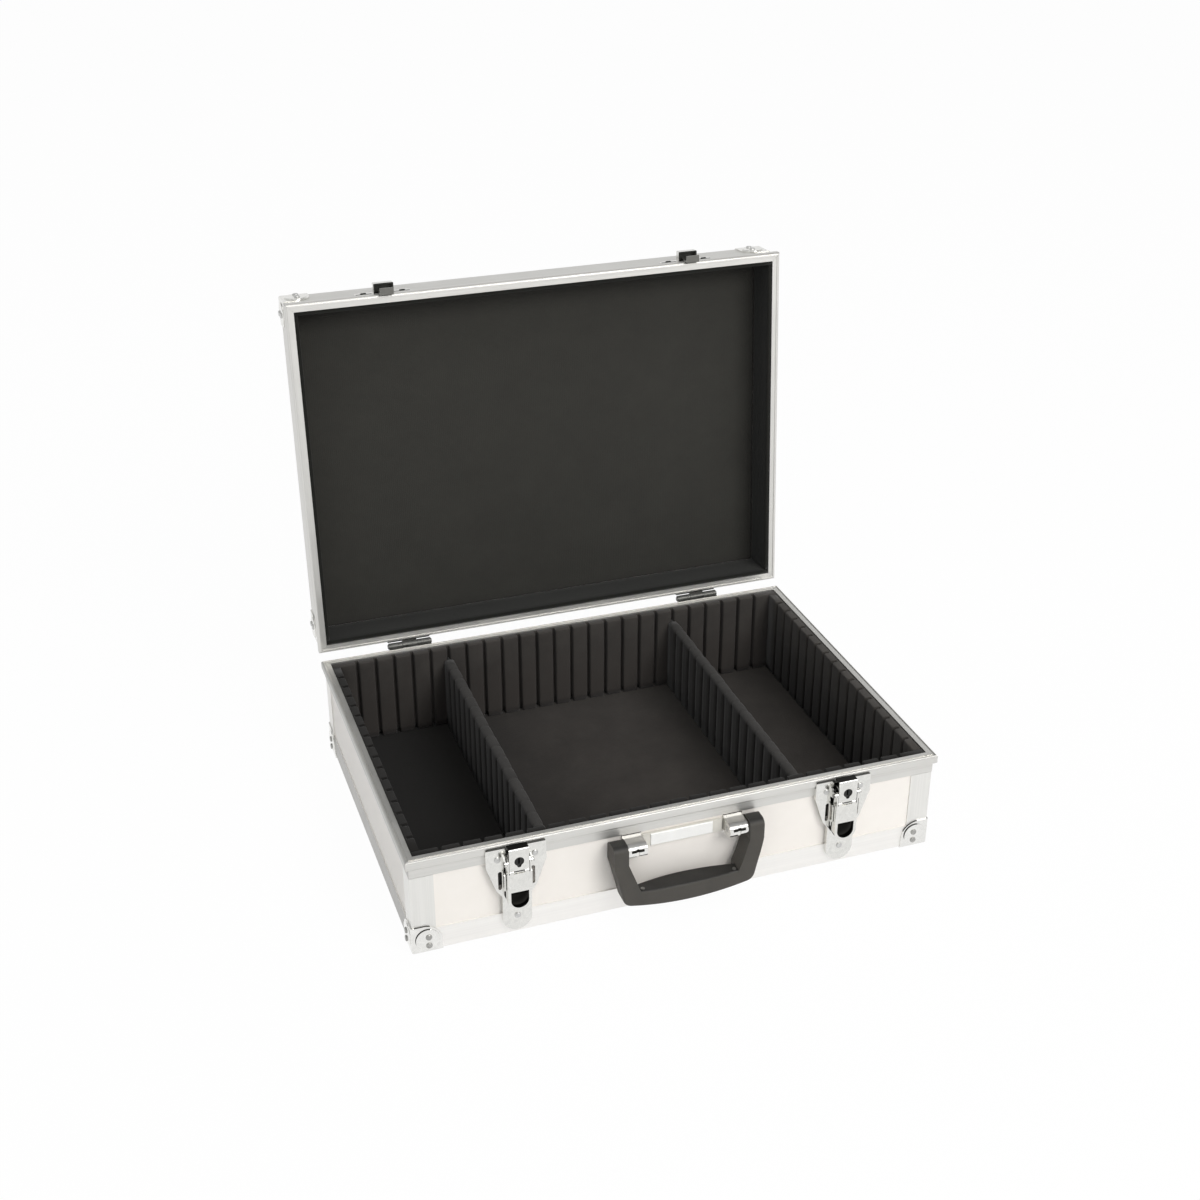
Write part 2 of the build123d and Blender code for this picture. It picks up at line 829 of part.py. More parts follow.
def latch_lever(x):
    with BuildPart() as lever:
        with BuildSketch(front_plane(x).offset(lever_back)):
            lever_outline(0, lever_top)
        extrude(amount=latch_front - lever_back)
        with BuildSketch(front_plane(x).offset(lever_back)):
            lever_outline(lever_wall, hasp_pin_z)
        extrude(amount=wall_inside - lever_back, mode=Mode.SUBTRACT)
        with BuildSketch(front_plane(x).offset(wall_inside)):
            with BuildLine():
                Polyline(
                    (-thumb_half, lever_round_z),
                    (-thumb_half, thumb_top),
                    (thumb_half, thumb_top),
                    (thumb_half, lever_round_z),
                )
                RadiusArc((thumb_half, lever_round_z), (-thumb_half, lever_round_z), thumb_half)
            make_face()
        extrude(amount=sheet_thickness, mode=Mode.SUBTRACT)
        for side in sides:
            start = x + side * lever_half - (0 if side > 0 else -lever_wall)
            with BuildSketch(front_section(start)):
                with BuildLine():
                    Polyline(
                        (lever_back, lever_top - ear_half_height),
                        (latch_front, lever_top - ear_half_height),
                        (lever_pin_out + eye_radius, lever_pin_z),
                        (lever_pin_out - eye_radius, lever_pin_z),
                        close=True,
                    )
                make_face()
                with Locations((lever_pin_out, lever_pin_z)):
                    Circle(eye_radius)
                    Circle(lever_pin_radius + running_clearance, mode=Mode.SUBTRACT)
            extrude(amount=lever_wall)
            inner = side * lever_knuckle_in
            outer = side * hasp_pin_half
            with BuildSketch(front_section(x + max(inner, outer))):
                with Locations((knuckle_out, hasp_pin_z)):
                    Circle(hasp_knuckle)
                with Locations((wall_inside + sheet_thickness / 2, (lever_top + hasp_pin_z) / 2)):
                    Rectangle(sheet_thickness, hasp_pin_z - lever_top)
                with Locations((knuckle_out, hasp_pin_z)):
                    Circle(hasp_pin_radius + running_clearance, mode=Mode.SUBTRACT)
            extrude(amount=abs(outer - inner))
    return lever.part


def latch_hasp(x):
    height = hasp_top - hasp_bottom
    with BuildPart() as hasp:
        with Locations(front_plane(x, hasp_bottom).offset(wall_inside)):
            Box(2 * hasp_half, height, sheet_thickness, align=(Align.CENTER, Align.MIN, Align.MIN))
        with Locations(front_plane(x, hasp_top - hasp_lip_thickness).offset(hasp_lip_in)):
            Box(
                2 * hasp_half,
                hasp_lip_thickness,
                latch_front - hasp_lip_in,
                align=(Align.CENTER, Align.MIN, Align.MIN),
            )
        for side in sides:
            wall_x = x + side * (hasp_half - lever_wall / 2)
            with Locations(front_plane(wall_x, hasp_wall_z).offset(hasp_wall_back)):
                Box(
                    lever_wall,
                    hasp_wall_top - hasp_wall_z,
                    latch_front - hasp_wall_back,
                    align=(Align.CENTER, Align.MIN, Align.MIN),
                )
        front_top = (x, -panel_half_depth - latch_front, hasp_top)
        fillet(hasp.edges().filter_by(Axis.X).sort_by_distance(front_top)[0], edge_round)
        with BuildSketch(front_section(x + hasp_knuckle_half)):
            with Locations((knuckle_out, hasp_pin_z)):
                Circle(hasp_knuckle)
            with Locations((wall_inside + sheet_thickness / 2, (hasp_bottom + hasp_pin_z) / 2)):
                Rectangle(sheet_thickness, hasp_bottom - hasp_pin_z)
            with Locations((knuckle_out, hasp_pin_z)):
                Circle(hasp_pin_radius + running_clearance, mode=Mode.SUBTRACT)
        extrude(amount=2 * hasp_knuckle_half)
        with BuildSketch(front_plane(x, key_z).offset(wall_inside)):
            Circle(key_hole_radius)
            with Locations((0, -key_lobe_drop)):
                Circle(key_lobe_radius)
        extrude(amount=sheet_thickness, mode=Mode.SUBTRACT)
    return hasp.part


def lock_barrel(x):
    flange_front = wall_inside - fit_gap
    with BuildPart() as barrel:
        with Locations(front_plane(x, key_z).offset(barrel_back)):
            Cylinder(
                key_hole_radius - running_clearance,
                latch_front - barrel_recess - barrel_back,
                align=(Align.CENTER, Align.CENTER, Align.MIN),
            )
        with Locations(front_plane(x, key_z).offset(flange_front - barrel_flange_thickness)):
            Cylinder(
                barrel_flange_radius,
                barrel_flange_thickness,
                align=(Align.CENTER, Align.CENTER, Align.MIN),
            )
        with Locations(front_plane(x, key_z).offset(latch_front - barrel_recess)):
            Box(key_slot_width, key_slot_length, 2 * key_slot_depth, mode=Mode.SUBTRACT)
    return barrel.part


def lever_pins(x):
    inner = ear_inner - fit_gap - lever_wall
    outer = ear_inner + ear_thickness
    with BuildPart() as pins:
        for side in sides:
            start = (x + side * inner, -panel_half_depth - lever_pin_out, lever_pin_z)
            turned = Plane(origin=start, z_dir=(side, 0, 0))
            with Locations(turned):
                Cylinder(
                    lever_pin_radius,
                    outer - inner + lever_pin_head_height,
                    align=(Align.CENTER, Align.CENTER, Align.MIN),
                )
            with Locations(turned.offset(outer - inner)):
                Cylinder(
                    lever_pin_head, lever_pin_head_height, align=(Align.CENTER, Align.CENTER, Align.MIN)
                )
    return pins.part


def hasp_pin(x):
    with BuildPart() as pin:
        with Locations(Plane(origin=(x, -panel_half_depth - knuckle_out, hasp_pin_z), z_dir=(1, 0, 0))):
            Cylinder(hasp_pin_radius, 2 * hasp_pin_half)
    return pin.part


# Strikes: a riveted plate with a hood, from which a tongue steps over the nose and ends in a hook
def strike(x):
    low = lid_seam + nose_height + fit_gap
    high = low + strike_rise
    face = edge_thickness
    bridge = edge_thickness + nose_out + strike_clearance
    hook_low = lid_seam - strike_reach
    hood_face = face + strike_thickness
    with BuildPart() as hook:
        with BuildSketch(front_plane(x, (low + high) / 2).offset(face)):
            RectangleRounded(2 * strike_half, high - low, strike_corner_round)
        extrude(amount=strike_thickness)
        with Locations(front_plane(x, low).offset(hood_face)):
            Box(2 * hood_half, hood_length, hood_out, align=(Align.CENTER, Align.MIN, Align.MIN))
            roof = hook.faces().sort_by(Axis.Y)[0]
            fillet(roof.edges().filter_by(Axis.Z), hood_round)
            Box(
                2 * (hood_half - hood_wall),
                hood_length - hood_wall,
                hood_out - hood_wall,
                align=(Align.CENTER, Align.MIN, Align.MIN),
                mode=Mode.SUBTRACT,
            )
        with BuildSketch(front_section(x + strike_half_tongue)):
            with BuildLine():
                Polyline(
                    (face, low),
                    (face, high),
                    (face + strike_thickness, high),
                    (face + strike_thickness, low + strike_step),
                    (bridge + strike_hook_thickness, low + strike_step),
                    (bridge + strike_hook_thickness, hook_low + strike_hook_thickness),
                    (edge_thickness + strike_hook_out, hook_low + strike_hook_thickness),
                    (edge_thickness + strike_hook_out, hook_low),
                    (bridge, hook_low),
                    (bridge, low),
                    close=True,
                )
            make_face()
        extrude(amount=2 * strike_half_tongue)
        drill(strike_planes, hole_radius)
    return hook.part


# Hinges: two leaves that step over the noses, with knuckles on one pin
hinge_out = hinge_y - panel_half_depth
leaf_in = edge_thickness + nose_out + hinge_leaf_clearance
leaf_far = leaf_in + hinge_leaf + joint_gap / 2
hinge_half = hinge_width / 2


def hinge_leaf_part(x, up):
    seam = base_height if up < 0 else lid_seam
    edge = seam + up * fit_gap
    nose_edge = seam + up * (nose_height + fit_gap + joint_gap)
    far_edge = seam + up * (flange_height - joint_gap)
    step = nose_edge + up * hinge_leaf
    with BuildPart() as leaf:
        with BuildSketch(rear_section(x - hinge_half)):
            with BuildLine():
                Polyline(
                    (edge_thickness, far_edge),
                    (edge_thickness + hinge_leaf, far_edge),
                    (edge_thickness + hinge_leaf, step),
                    (leaf_far, step),
                    (leaf_far, edge),
                    (leaf_in, edge),
                    (leaf_in, nose_edge),
                    (edge_thickness, nose_edge),
                    close=True,
                )
            make_face()
        extrude(amount=hinge_width)
        if up < 0:
            notches = [(x, 2 * (hinge_centre_half + hinge_gap))]
            knuckles = [(x - hinge_half, hinge_half - hinge_centre_half - hinge_gap)]
            knuckles.append((x + hinge_centre_half + hinge_gap, hinge_half - hinge_centre_half - hinge_gap))
        else:
            side_width = 2 * (hinge_half - hinge_centre_half)
            notches = [(x - hinge_half, side_width), (x + hinge_half, side_width)]
            knuckles = [(x - hinge_centre_half, 2 * hinge_centre_half)]
        for middle, width in notches:
            with Locations((middle, hinge_y, hinge_z)):
                Box(width, 2 * (hinge_out - leaf_in + fit_gap), 2 * hinge_notch, mode=Mode.SUBTRACT)
        for start, width in knuckles:
            with BuildSketch(rear_section(start)):
                with Locations((hinge_out, hinge_z)):
                    Circle(hinge_knuckle)
            extrude(amount=width)
        with Locations(Plane(origin=(x, hinge_y, hinge_z), z_dir=(1, 0, 0))):
            Cylinder(hinge_pin_radius + running_clearance, cut_length, mode=Mode.SUBTRACT)
        drill(base_hinge_planes + lid_hinge_planes, hole_radius)
    return leaf.part


def hinge_pin(x):
    with BuildPart() as pin:
        with Locations(Plane(origin=(x, hinge_y, hinge_z), z_dir=(1, 0, 0))):
            Cylinder(hinge_pin_radius, hinge_width)
        for side in sides:
            with Locations(Plane(origin=(x + side * hinge_half, hinge_y, hinge_z), z_dir=(side, 0, 0))):
                Cylinder(
                    hinge_pin_head, hinge_pin_head_height, align=(Align.CENTER, Align.CENTER, Align.MIN)
                )
    return pin.part


# Handle: two brackets with pins, a carrier with a bare name plate and the moulded grip
arm_inner = handle_half_top - handle_arm
bracket_outer = arm_inner - fit_gap

with BuildPart() as handle_plate:
    carrier_half = bracket_inner - fit_gap
    with BuildSketch(front_plane(0, handle_z)):
        Rectangle(2 * carrier_half, 2 * carrier_half_height)
    extrude(amount=carrier_thickness)
    front_edges = handle_plate.faces().sort_by(Axis.Y)[0].edges().filter_by(Axis.Z)
    chamfer(front_edges, carrier_thickness / 2)

with BuildPart() as name_plate:
    middle_x = (name_plate_right - name_plate_left) / 2
    with Locations(front_plane(middle_x, handle_z).offset(carrier_thickness)):
        Box(
            name_plate_left + name_plate_right,
            2 * (carrier_half_height - name_plate_margin),
            name_plate_thickness,
            align=(Align.CENTER, Align.CENTER, Align.MIN),
        )
    chamfer(name_plate.faces().sort_by(Axis.Y)[0].edges(), name_plate_chamfer)


def handle_bracket(side):
    width = bracket_outer - bracket_inner
    start = side * bracket_outer if side > 0 else -bracket_inner
    with BuildPart() as bracket:
        with BuildSketch(front_section(start)):
            with Locations((bracket_foot / 2, handle_z)):
                Rectangle(bracket_foot, 2 * bracket_foot_half)
            with Locations((handle_pin_out / 2, handle_z)):
                Rectangle(handle_pin_out, 2 * bracket_radius)
            with Locations((handle_pin_out, handle_z)):
                Circle(bracket_radius)
                Circle(handle_pin_radius + running_clearance, mode=Mode.SUBTRACT)
        extrude(amount=width)
        groove = Plane(
            origin=(
                side * (bracket_inner + bracket_outer) / 2,
                -panel_half_depth - handle_pin_out - bracket_radius,
                handle_z + bracket_groove_rise,
            ),
            z_dir=(0, -1, 0),
        )
        with Locations(groove):
            Box(
                width - 2 * bracket_groove_margin,
                bracket_groove_height,
                2 * bracket_groove_depth,
                mode=Mode.SUBTRACT,
            )
    return bracket.part


with BuildPart() as handle_pins:
    pin_end = arm_inner + handle_bore_depth - fit_gap
    for side in sides:
        centre = (side * (bracket_inner + pin_end) / 2, -panel_half_depth - handle_pin_out, handle_z)
        with Locations(Plane(origin=centre, z_dir=(1, 0, 0))):
            Cylinder(handle_pin_radius, pin_end - bracket_inner)

arm_top = handle_z + handle_arm_rise
handle_lowest = handle_bottom - handle_bow
arm_back = handle_pin_out - handle_arm_depth / 2
arm_front = handle_pin_out + handle_arm_depth / 2

back_y = -panel_half_depth
middle_y = -panel_half_depth - grip_back
end_y = -panel_half_depth - grip_end_back
screw_z = grip_top + screw_rise
screw_places = [(side * screw_half, -panel_half_depth - screw_out, screw_z) for side in sides]

with BuildPart() as handle_grip:
    with BuildSketch(front_plane()) as front_outline:
        with BuildLine():
            for side in sides:
                Polyline(
                    (side * handle_half_bottom, handle_bottom),
                    (side * handle_half_top, handle_bend_z),
                    (side * handle_half_top, arm_top),
                    (side * arm_inner, arm_top),
                    (side * arm_inner, handle_bend_z),
                    (side * grip_half, grip_top),
                )
            ThreePointArc((-grip_half, grip_top), (0, grip_top - grip_sag), (grip_half, grip_top))
            ThreePointArc(
                (-handle_half_bottom, handle_bottom),
                (0, handle_bottom - handle_bow),
                (handle_half_bottom, handle_bottom),
            )
        make_face()
        corners_below = front_outline.vertices().filter_by(
            lambda vertex: abs(vertex.Y - handle_bottom) < cut_gap
        )
        fillet(corners_below, handle_corner_round)
    extrude(amount=grip_front)
    with BuildSketch(front_section(case_width / 2)) as side_outline:
        with BuildLine():
            Polyline(
                (arm_back, arm_top),
                (arm_front, arm_top),
                (arm_front, handle_bend_z),
                (grip_front, grip_shoulder_z),
                (grip_front, handle_lowest),
                (grip_back, handle_lowest),
                (grip_back, grip_shoulder_z),
                (arm_back, handle_bend_z),
                close=True,
            )
        make_face()
        fillet(side_outline.vertices().group_by(Axis.Y)[-1], handle_arm_round)
    extrude(amount=case_width, mode=Mode.INTERSECT)
    for depth in (grip_back, grip_front):
        lowest = (0, -panel_half_depth - depth, handle_lowest)
        fillet(handle_grip.edges().sort_by_distance(lowest)[0], grip_round)
    with BuildSketch(Plane.XY.offset(grip_top)):
        with BuildLine():
            ThreePointArc((-grip_half, end_y), (0, middle_y), (grip_half, end_y))
            Polyline((-grip_half, end_y), (-grip_half, back_y), (grip_half, back_y), (grip_half, end_y))
        make_face()
    extrude(amount=-grip_top, mode=Mode.SUBTRACT)
    ridge = (0, -panel_half_depth - grip_front, grip_top - grip_sag)
    fillet(handle_grip.edges().sort_by_distance(ridge)[0], handle_edge_round)
    for side in sides:
        bore = Plane(
            origin=(side * arm_inner, -panel_half_depth - handle_pin_out, handle_z), z_dir=(side, 0, 0)
        )
        with Locations(bore):
            Cylinder(
                handle_pin_radius + running_clearance,
                2 * handle_bore_depth,
                mode=Mode.SUBTRACT,
            )
    with Locations(screw_places):
        Cylinder(screw_radius + running_clearance, 2 * screw_depth, mode=Mode.SUBTRACT)

with BuildPart() as handle_screws:
    with Locations(screw_places):
        Cylinder(screw_radius, screw_depth, align=(Align.CENTER, Align.CENTER, Align.MAX))

# Saving: the base's pieces are raised, the lid's pieces are turned open as well
base_pieces = {
    "bottom_panel": bottom_panel.part,
    "front_panel": front_panel.part,
    "rear_panel": rear_panel.part,
    "left_panel": left_panel.part,
    "right_panel": right_panel.part,
    "base_rim": base_rim.part,
    "base_bottom_edges": base_bottom_edges.part,
    "base_corner_posts": base_corner_posts.part,
    "base_corner_caps": base_corner_caps.part,
    "base_cap_rivets": base_cap_rivets.part,
    "floor_liner": floor_liner.part,
    "front_liner": front_liner,
    "rear_liner": rear_liner,
    "left_liner": left_liner,
    "right_liner": right_liner,
    "divider_left": divider_left,
    "divider_right": divider_right,
    "handle_plate": handle_plate.part,
    "name_plate": name_plate.part,
    "handle_bracket_left": handle_bracket(-1),
    "handle_bracket_right": handle_bracket(1),
    "handle_pins": handle_pins.part,
    "handle_grip": handle_grip.part,
    "handle_screws": handle_screws.part,
    "latch_plate_left": latch_plate(-latch_x),
    "latch_plate_right": latch_plate(latch_x),
    "latch_lever_left": latch_lever(-latch_x),
    "latch_lever_right": latch_lever(latch_x),
    "latch_hasp_left": latch_hasp(-latch_x),
    "latch_hasp_right": latch_hasp(latch_x),
    "lever_pins_left": lever_pins(-latch_x),
    "lever_pins_right": lever_pins(latch_x),
    "hasp_pin_left": hasp_pin(-latch_x),
    "hasp_pin_right": hasp_pin(latch_x),
    "lock_barrel_left": lock_barrel(-latch_x),
    "lock_barrel_right": lock_barrel(latch_x),
    "latch_rivets": latch_rivets.part,
    "hinge_base_leaf_left": hinge_leaf_part(-hinge_x, -1),
    "hinge_base_leaf_right": hinge_leaf_part(hinge_x, -1),
    "hinge_pin_left": hinge_pin(-hinge_x),
    "hinge_pin_right": hinge_pin(hinge_x),
    "hinge_base_rivets": hinge_base_rivets.part,
}
lid_pieces = {
    "lid_top_panel": lid_top_panel.part,
    "lid_front_panel": lid_front_panel.part,
    "lid_rear_panel": lid_rear_panel.part,
    "lid_left_panel": lid_left_panel.part,
    "lid_right_panel": lid_right_panel.part,
    "lid_rim": lid_rim.part,
    "lid_top_edges": lid_top_edges.part,
    "lid_corner_caps": lid_corner_caps.part,
    "lid_cap_rivets": lid_cap_rivets.part,
    "lid_liner_panel": lid_liner_panel.part,
    "lid_liner_walls": lid_liner_walls.part,
    "hinge_lid_leaf_left": hinge_leaf_part(-hinge_x, 1),
    "hinge_lid_leaf_right": hinge_leaf_part(hinge_x, 1),
    "hinge_lid_rivets": hinge_lid_rivets.part,
    "strike_left": strike(-latch_x),
    "strike_right": strike(latch_x),
    "strike_rivets": strike_rivets.part,
}
for name, piece in base_pieces.items():
    save(piece, name, base_pose)
for name, piece in lid_pieces.items():
    save(piece, name, lid_pose)
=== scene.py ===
import math

import bpy
from mathutils import Matrix, Vector, noise


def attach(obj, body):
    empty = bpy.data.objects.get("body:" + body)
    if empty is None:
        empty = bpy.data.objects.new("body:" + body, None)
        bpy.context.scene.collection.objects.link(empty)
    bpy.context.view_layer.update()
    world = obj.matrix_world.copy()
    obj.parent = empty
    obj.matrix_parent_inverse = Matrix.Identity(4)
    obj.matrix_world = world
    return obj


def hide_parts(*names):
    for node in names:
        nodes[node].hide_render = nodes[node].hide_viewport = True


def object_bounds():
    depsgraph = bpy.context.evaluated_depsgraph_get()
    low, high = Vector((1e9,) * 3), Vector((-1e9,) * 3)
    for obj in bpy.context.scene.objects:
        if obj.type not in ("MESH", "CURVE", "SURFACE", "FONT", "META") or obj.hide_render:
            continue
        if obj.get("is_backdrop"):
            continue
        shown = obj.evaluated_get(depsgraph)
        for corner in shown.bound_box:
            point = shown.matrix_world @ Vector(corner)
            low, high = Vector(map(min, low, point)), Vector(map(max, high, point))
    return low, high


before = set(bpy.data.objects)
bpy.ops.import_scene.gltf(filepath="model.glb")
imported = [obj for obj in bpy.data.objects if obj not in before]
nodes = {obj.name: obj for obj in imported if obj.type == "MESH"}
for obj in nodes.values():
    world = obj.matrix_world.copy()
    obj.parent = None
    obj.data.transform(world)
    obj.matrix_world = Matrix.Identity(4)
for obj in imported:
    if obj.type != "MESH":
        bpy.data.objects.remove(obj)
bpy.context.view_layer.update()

# Sizes are in millimetres and are turned into metres when a mesh is made.
MM = 0.001
HALF_WIDTH = 210.0
HALF_DEPTH = 149.0
INNER_X = 206.5
INNER_Y = 145.5
LINER_X = 198.5
LINER_Y = 137.5
FLOOR_LOW = 4.5
FLOOR_TOP = 7.5
FOAM_TOP = 83.2
SLOT_PITCH = 16.0
SLOT_WIDTH = 3.2
SLOT_DEPTH = 5.0
DIVIDER_X = 104.0
DIVIDER_LOW = 7.8
DIVIDER_TOP = 72.8
LID_INNER_X = 202.5
LID_INNER_Y = 141.5
LID_FOAM_LOW = 85.1
LID_FOAM_FACE = 116.7
LID_FOAM_BACK = 119.7
RIM_LIP = 1.1
HINGE_Y = 155.6
HINGE_Z = 84.15
OPEN_ANGLE = math.radians(94.6)
PANEL_Y = 148.0
LATCH_X = 131.0
BRACKET_X = 40.6
STRIKE_LOW = 92.6
WING_X = 15.6
WALL_LOW = FLOOR_TOP + 0.05
WALL_TOP_ROUND = 1.1
WALL_ROWS = 12
BEAD_HEIGHT = 2.8

# The camera that took the photograph, with its focal length in dots of the picture
FOCAL = 1733.07
PICTURE_WIDTH = 1200
SENSOR = 36.0
CAMERA_AT = (-409.2, -1134.5, 826.1)
AZIMUTH = math.radians(-19.234)
ELEVATION = math.radians(28.108)

HINGE = Vector((0, HINGE_Y * MM, HINGE_Z * MM))
TURN = Matrix.Rotation(-OPEN_ANGLE, 4, "X")
LID_POSE = Matrix.Translation(HINGE) @ TURN @ Matrix.Translation(-HINGE)

ALUMINIUM_LOW = (0.62, 0.613, 0.588)
ALUMINIUM_HIGH = (0.74, 0.733, 0.708)
PANEL_LOW = (0.895, 0.858, 0.811)
PANEL_HIGH = (0.94, 0.902, 0.859)
CHROME = (0.80, 0.795, 0.765)
# Tones of painted shade and painted shadow lines, for gaps, slits, hollows and the feet of parts
SHADE_BLACK = (0.022, 0.021, 0.019)
SHADE_NEAR_BLACK = (0.03, 0.03, 0.028)
SHADE_GREY = (0.05, 0.049, 0.045)
SHADOW_LINE_GREY = (0.1, 0.098, 0.092)
SHADE_INSIDE_CHROME = (0.14, 0.138, 0.13)
FOAM_DARK = (0.008, 0.0073, 0.0066)
HINGE_LOW = (0.07, 0.07, 0.066)
HINGE_HIGH = (0.13, 0.13, 0.122)

# Texture scales across and along the grain of drawn aluminium
GRAIN = 1400
GRAIN_RUN = 9
BAND = 260
BAND_RUN = 3

# Masks reach this far behind the front panel
BEHIND = -9.0


# A material whose shader's inputs are built up step by step
class Look:
    def __init__(self, name, on_lid=False):
        self.material = bpy.data.materials.new(name)
        self.material.use_nodes = True
        self.tree = self.material.node_tree
        self.shader = self.tree.nodes["Principled BSDF"]
        self.point = self.add("ShaderNodeTexCoord").outputs["Object"]
        if on_lid:
            back = self.add("ShaderNodeMapping")
            back.inputs["Rotation"].default_value = (OPEN_ANGLE, 0, 0)
            shift = HINGE - Matrix.Rotation(OPEN_ANGLE, 3, "X") @ HINGE
            back.inputs["Location"].default_value = shift
            self.link(self.point, back.inputs["Vector"])
            self.point = back.outputs["Vector"]

    def add(self, kind, **values):
        node = self.tree.nodes.new(kind)
        for key, value in values.items():
            setattr(node, key, value)
        return node

    def link(self, source, target):
        self.tree.links.new(source, target)

    def fixed(self, **values):
        for key, value in values.items():
            self.shader.inputs[key.replace("_", " ")].default_value = value

    # Coordinates with the case at rest, and with the lid shut for the pieces on it
    def place(self):
        parts = self.add("ShaderNodeSeparateXYZ")
        self.link(self.point, parts.inputs[0])
        return parts.outputs

    def scaled(self, x, y, z):
        mapping = self.add("ShaderNodeMapping")
        mapping.inputs["Scale"].default_value = (x, y, z)
        self.link(self.point, mapping.inputs["Vector"])
        return mapping.outputs["Vector"]

    def noise(self, scale, detail=4.0, rough=0.55, point=None, distortion=0.0):
        texture = self.add("ShaderNodeTexNoise")
        texture.inputs["Scale"].default_value = scale
        texture.inputs["Detail"].default_value = detail
        texture.inputs["Roughness"].default_value = rough
        texture.inputs["Distortion"].default_value = distortion
        self.link(point or self.point, texture.inputs["Vector"])
        return texture.outputs["Fac"]

    def cells(self, scale, point=None, feature="F1"):
        texture = self.add("ShaderNodeTexVoronoi", feature=feature)
        texture.inputs["Scale"].default_value = scale
        self.link(point or self.point, texture.inputs["Vector"])
        return texture.outputs["Distance"]

    def spread(self, value, low, high, out_low, out_high):
        ranged = self.add("ShaderNodeMapRange")
        limits = {"From Min": low, "From Max": high, "To Min": out_low, "To Max": out_high}
        for key, number in limits.items():
            ranged.inputs[key].default_value = number
        self.link(value, ranged.inputs["Value"])
        return ranged.outputs["Result"]

    def sum(self, first, second, operation="ADD"):
        joined = self.add("ShaderNodeMath", operation=operation)
        for socket, value in zip(joined.inputs, (first, second)):
            if isinstance(value, float):
                socket.default_value = value
            else:
                self.link(value, socket)
        return joined.outputs[0]

    def blended(self, factor, first, second):
        mixed = self.add("ShaderNodeMix", data_type="RGBA")
        self.link(factor, mixed.inputs["Factor"])
        for socket, value in ((mixed.inputs[6], first), (mixed.inputs[7], second)):
            if isinstance(value, tuple):
                socket.default_value = (*value, 1.0)
            else:
                self.link(value, socket)
        return mixed.outputs[2]

    def mixed_value(self, factor, first, second):
        mixed = self.add("ShaderNodeMix", data_type="FLOAT")
        self.link(factor, mixed.inputs[0])
        self.link(first, mixed.inputs[2])
        self.link(second, mixed.inputs[3])
        return mixed.outputs[0]

    def bumped(self, height, distance, strength=1.0, over=None):
        bump = self.add("ShaderNodeBump")
        bump.inputs["Strength"].default_value = strength
        bump.inputs["Distance"].default_value = distance
        self.link(height, bump.inputs["Height"])
        if over is not None:
            self.link(over, bump.inputs["Normal"])
        return bump.outputs["Normal"]

    def into(self, name, value):
        self.link(value, self.shader.inputs[name])


# How far a face looks along an axis, with the lid open
def facing(look, axis="Z", low=0.45, high=0.85):
    normal = look.add("ShaderNodeTexCoord").outputs["Normal"]
    parts = look.add("ShaderNodeSeparateXYZ")
    look.link(normal, parts.inputs[0])
    return look.spread(parts.outputs["XYZ".index(axis)], low, high, 0.0, 1.0)


def facing_against(look, axis):
    return look.sum(1.0, facing(look, axis, -0.85, -0.45), "SUBTRACT")


# Faces that look up at a slant, as the round of a rim's nose does
def slanting_up(look):
    risen = facing(look, "Z", 0.15, 0.45)
    not_flat = look.sum(1.0, facing(look, "Z", 0.9, 0.99), "SUBTRACT")
    return look.sum(risen, not_flat, "MULTIPLY")


# Masks are one inside a region. Out is the distance in front of the front panel, in millimetres.
def inside_box(look, middle, half, out, low, high, mirrored=False):
    x, y, z = look.place()
    if mirrored:
        x = look.sum(x, 0.0, "ABSOLUTE")
    aside = look.sum(look.sum(x, middle * MM, "SUBTRACT"), 0.0, "ABSOLUTE")
    inside = look.sum(aside, half * MM, "LESS_THAN")
    for value, limit, side in (
        (y, -(PANEL_Y + out[0]) * MM, "LESS_THAN"),
        (y, -(PANEL_Y + out[1]) * MM, "GREATER_THAN"),
        (z, low * MM, "GREATER_THAN"),
        (z, high * MM, "LESS_THAN"),
    ):
        inside = look.sum(inside, look.sum(value, limit, side), "MULTIPLY")
    return inside


def inside_disc(look, middle, height, radius, out):
    x, y, z = look.place()
    across = look.sum(x, middle * MM, "SUBTRACT")
    above = look.sum(z, height * MM, "SUBTRACT")
    squares = look.sum(look.sum(across, across, "MULTIPLY"), look.sum(above, above, "MULTIPLY"))
    near = look.sum(squares, (radius * MM) ** 2, "LESS_THAN")
    return look.sum(near, look.sum(y, -(PANEL_Y + out) * MM, "GREATER_THAN"), "MULTIPLY")


def between_heights(look, low, high):
    z = look.place()[2]
    above = look.sum(z, low * MM, "GREATER_THAN")
    return look.sum(above, look.sum(z, high * MM, "LESS_THAN"), "MULTIPLY")


# Faces that look up and to the left, as one side of the round button on a corner cap does
def upper_left(look, middle, half):
    normal = look.add("ShaderNodeTexCoord").outputs["Normal"]
    along = look.add("ShaderNodeVectorMath", operation="DOT_PRODUCT")
    look.link(normal, along.inputs[0])
    along.inputs[1].default_value = (-0.6, 0.0, 0.8)
    turned = look.spread(along.outputs["Value"], 0.15, 0.4, 0.0, 1.0)
    near = inside_box(look, middle, half, out=(BEHIND, 12.0), low=8.0, high=30.0)
    return look.sum(turned, near, "MULTIPLY")
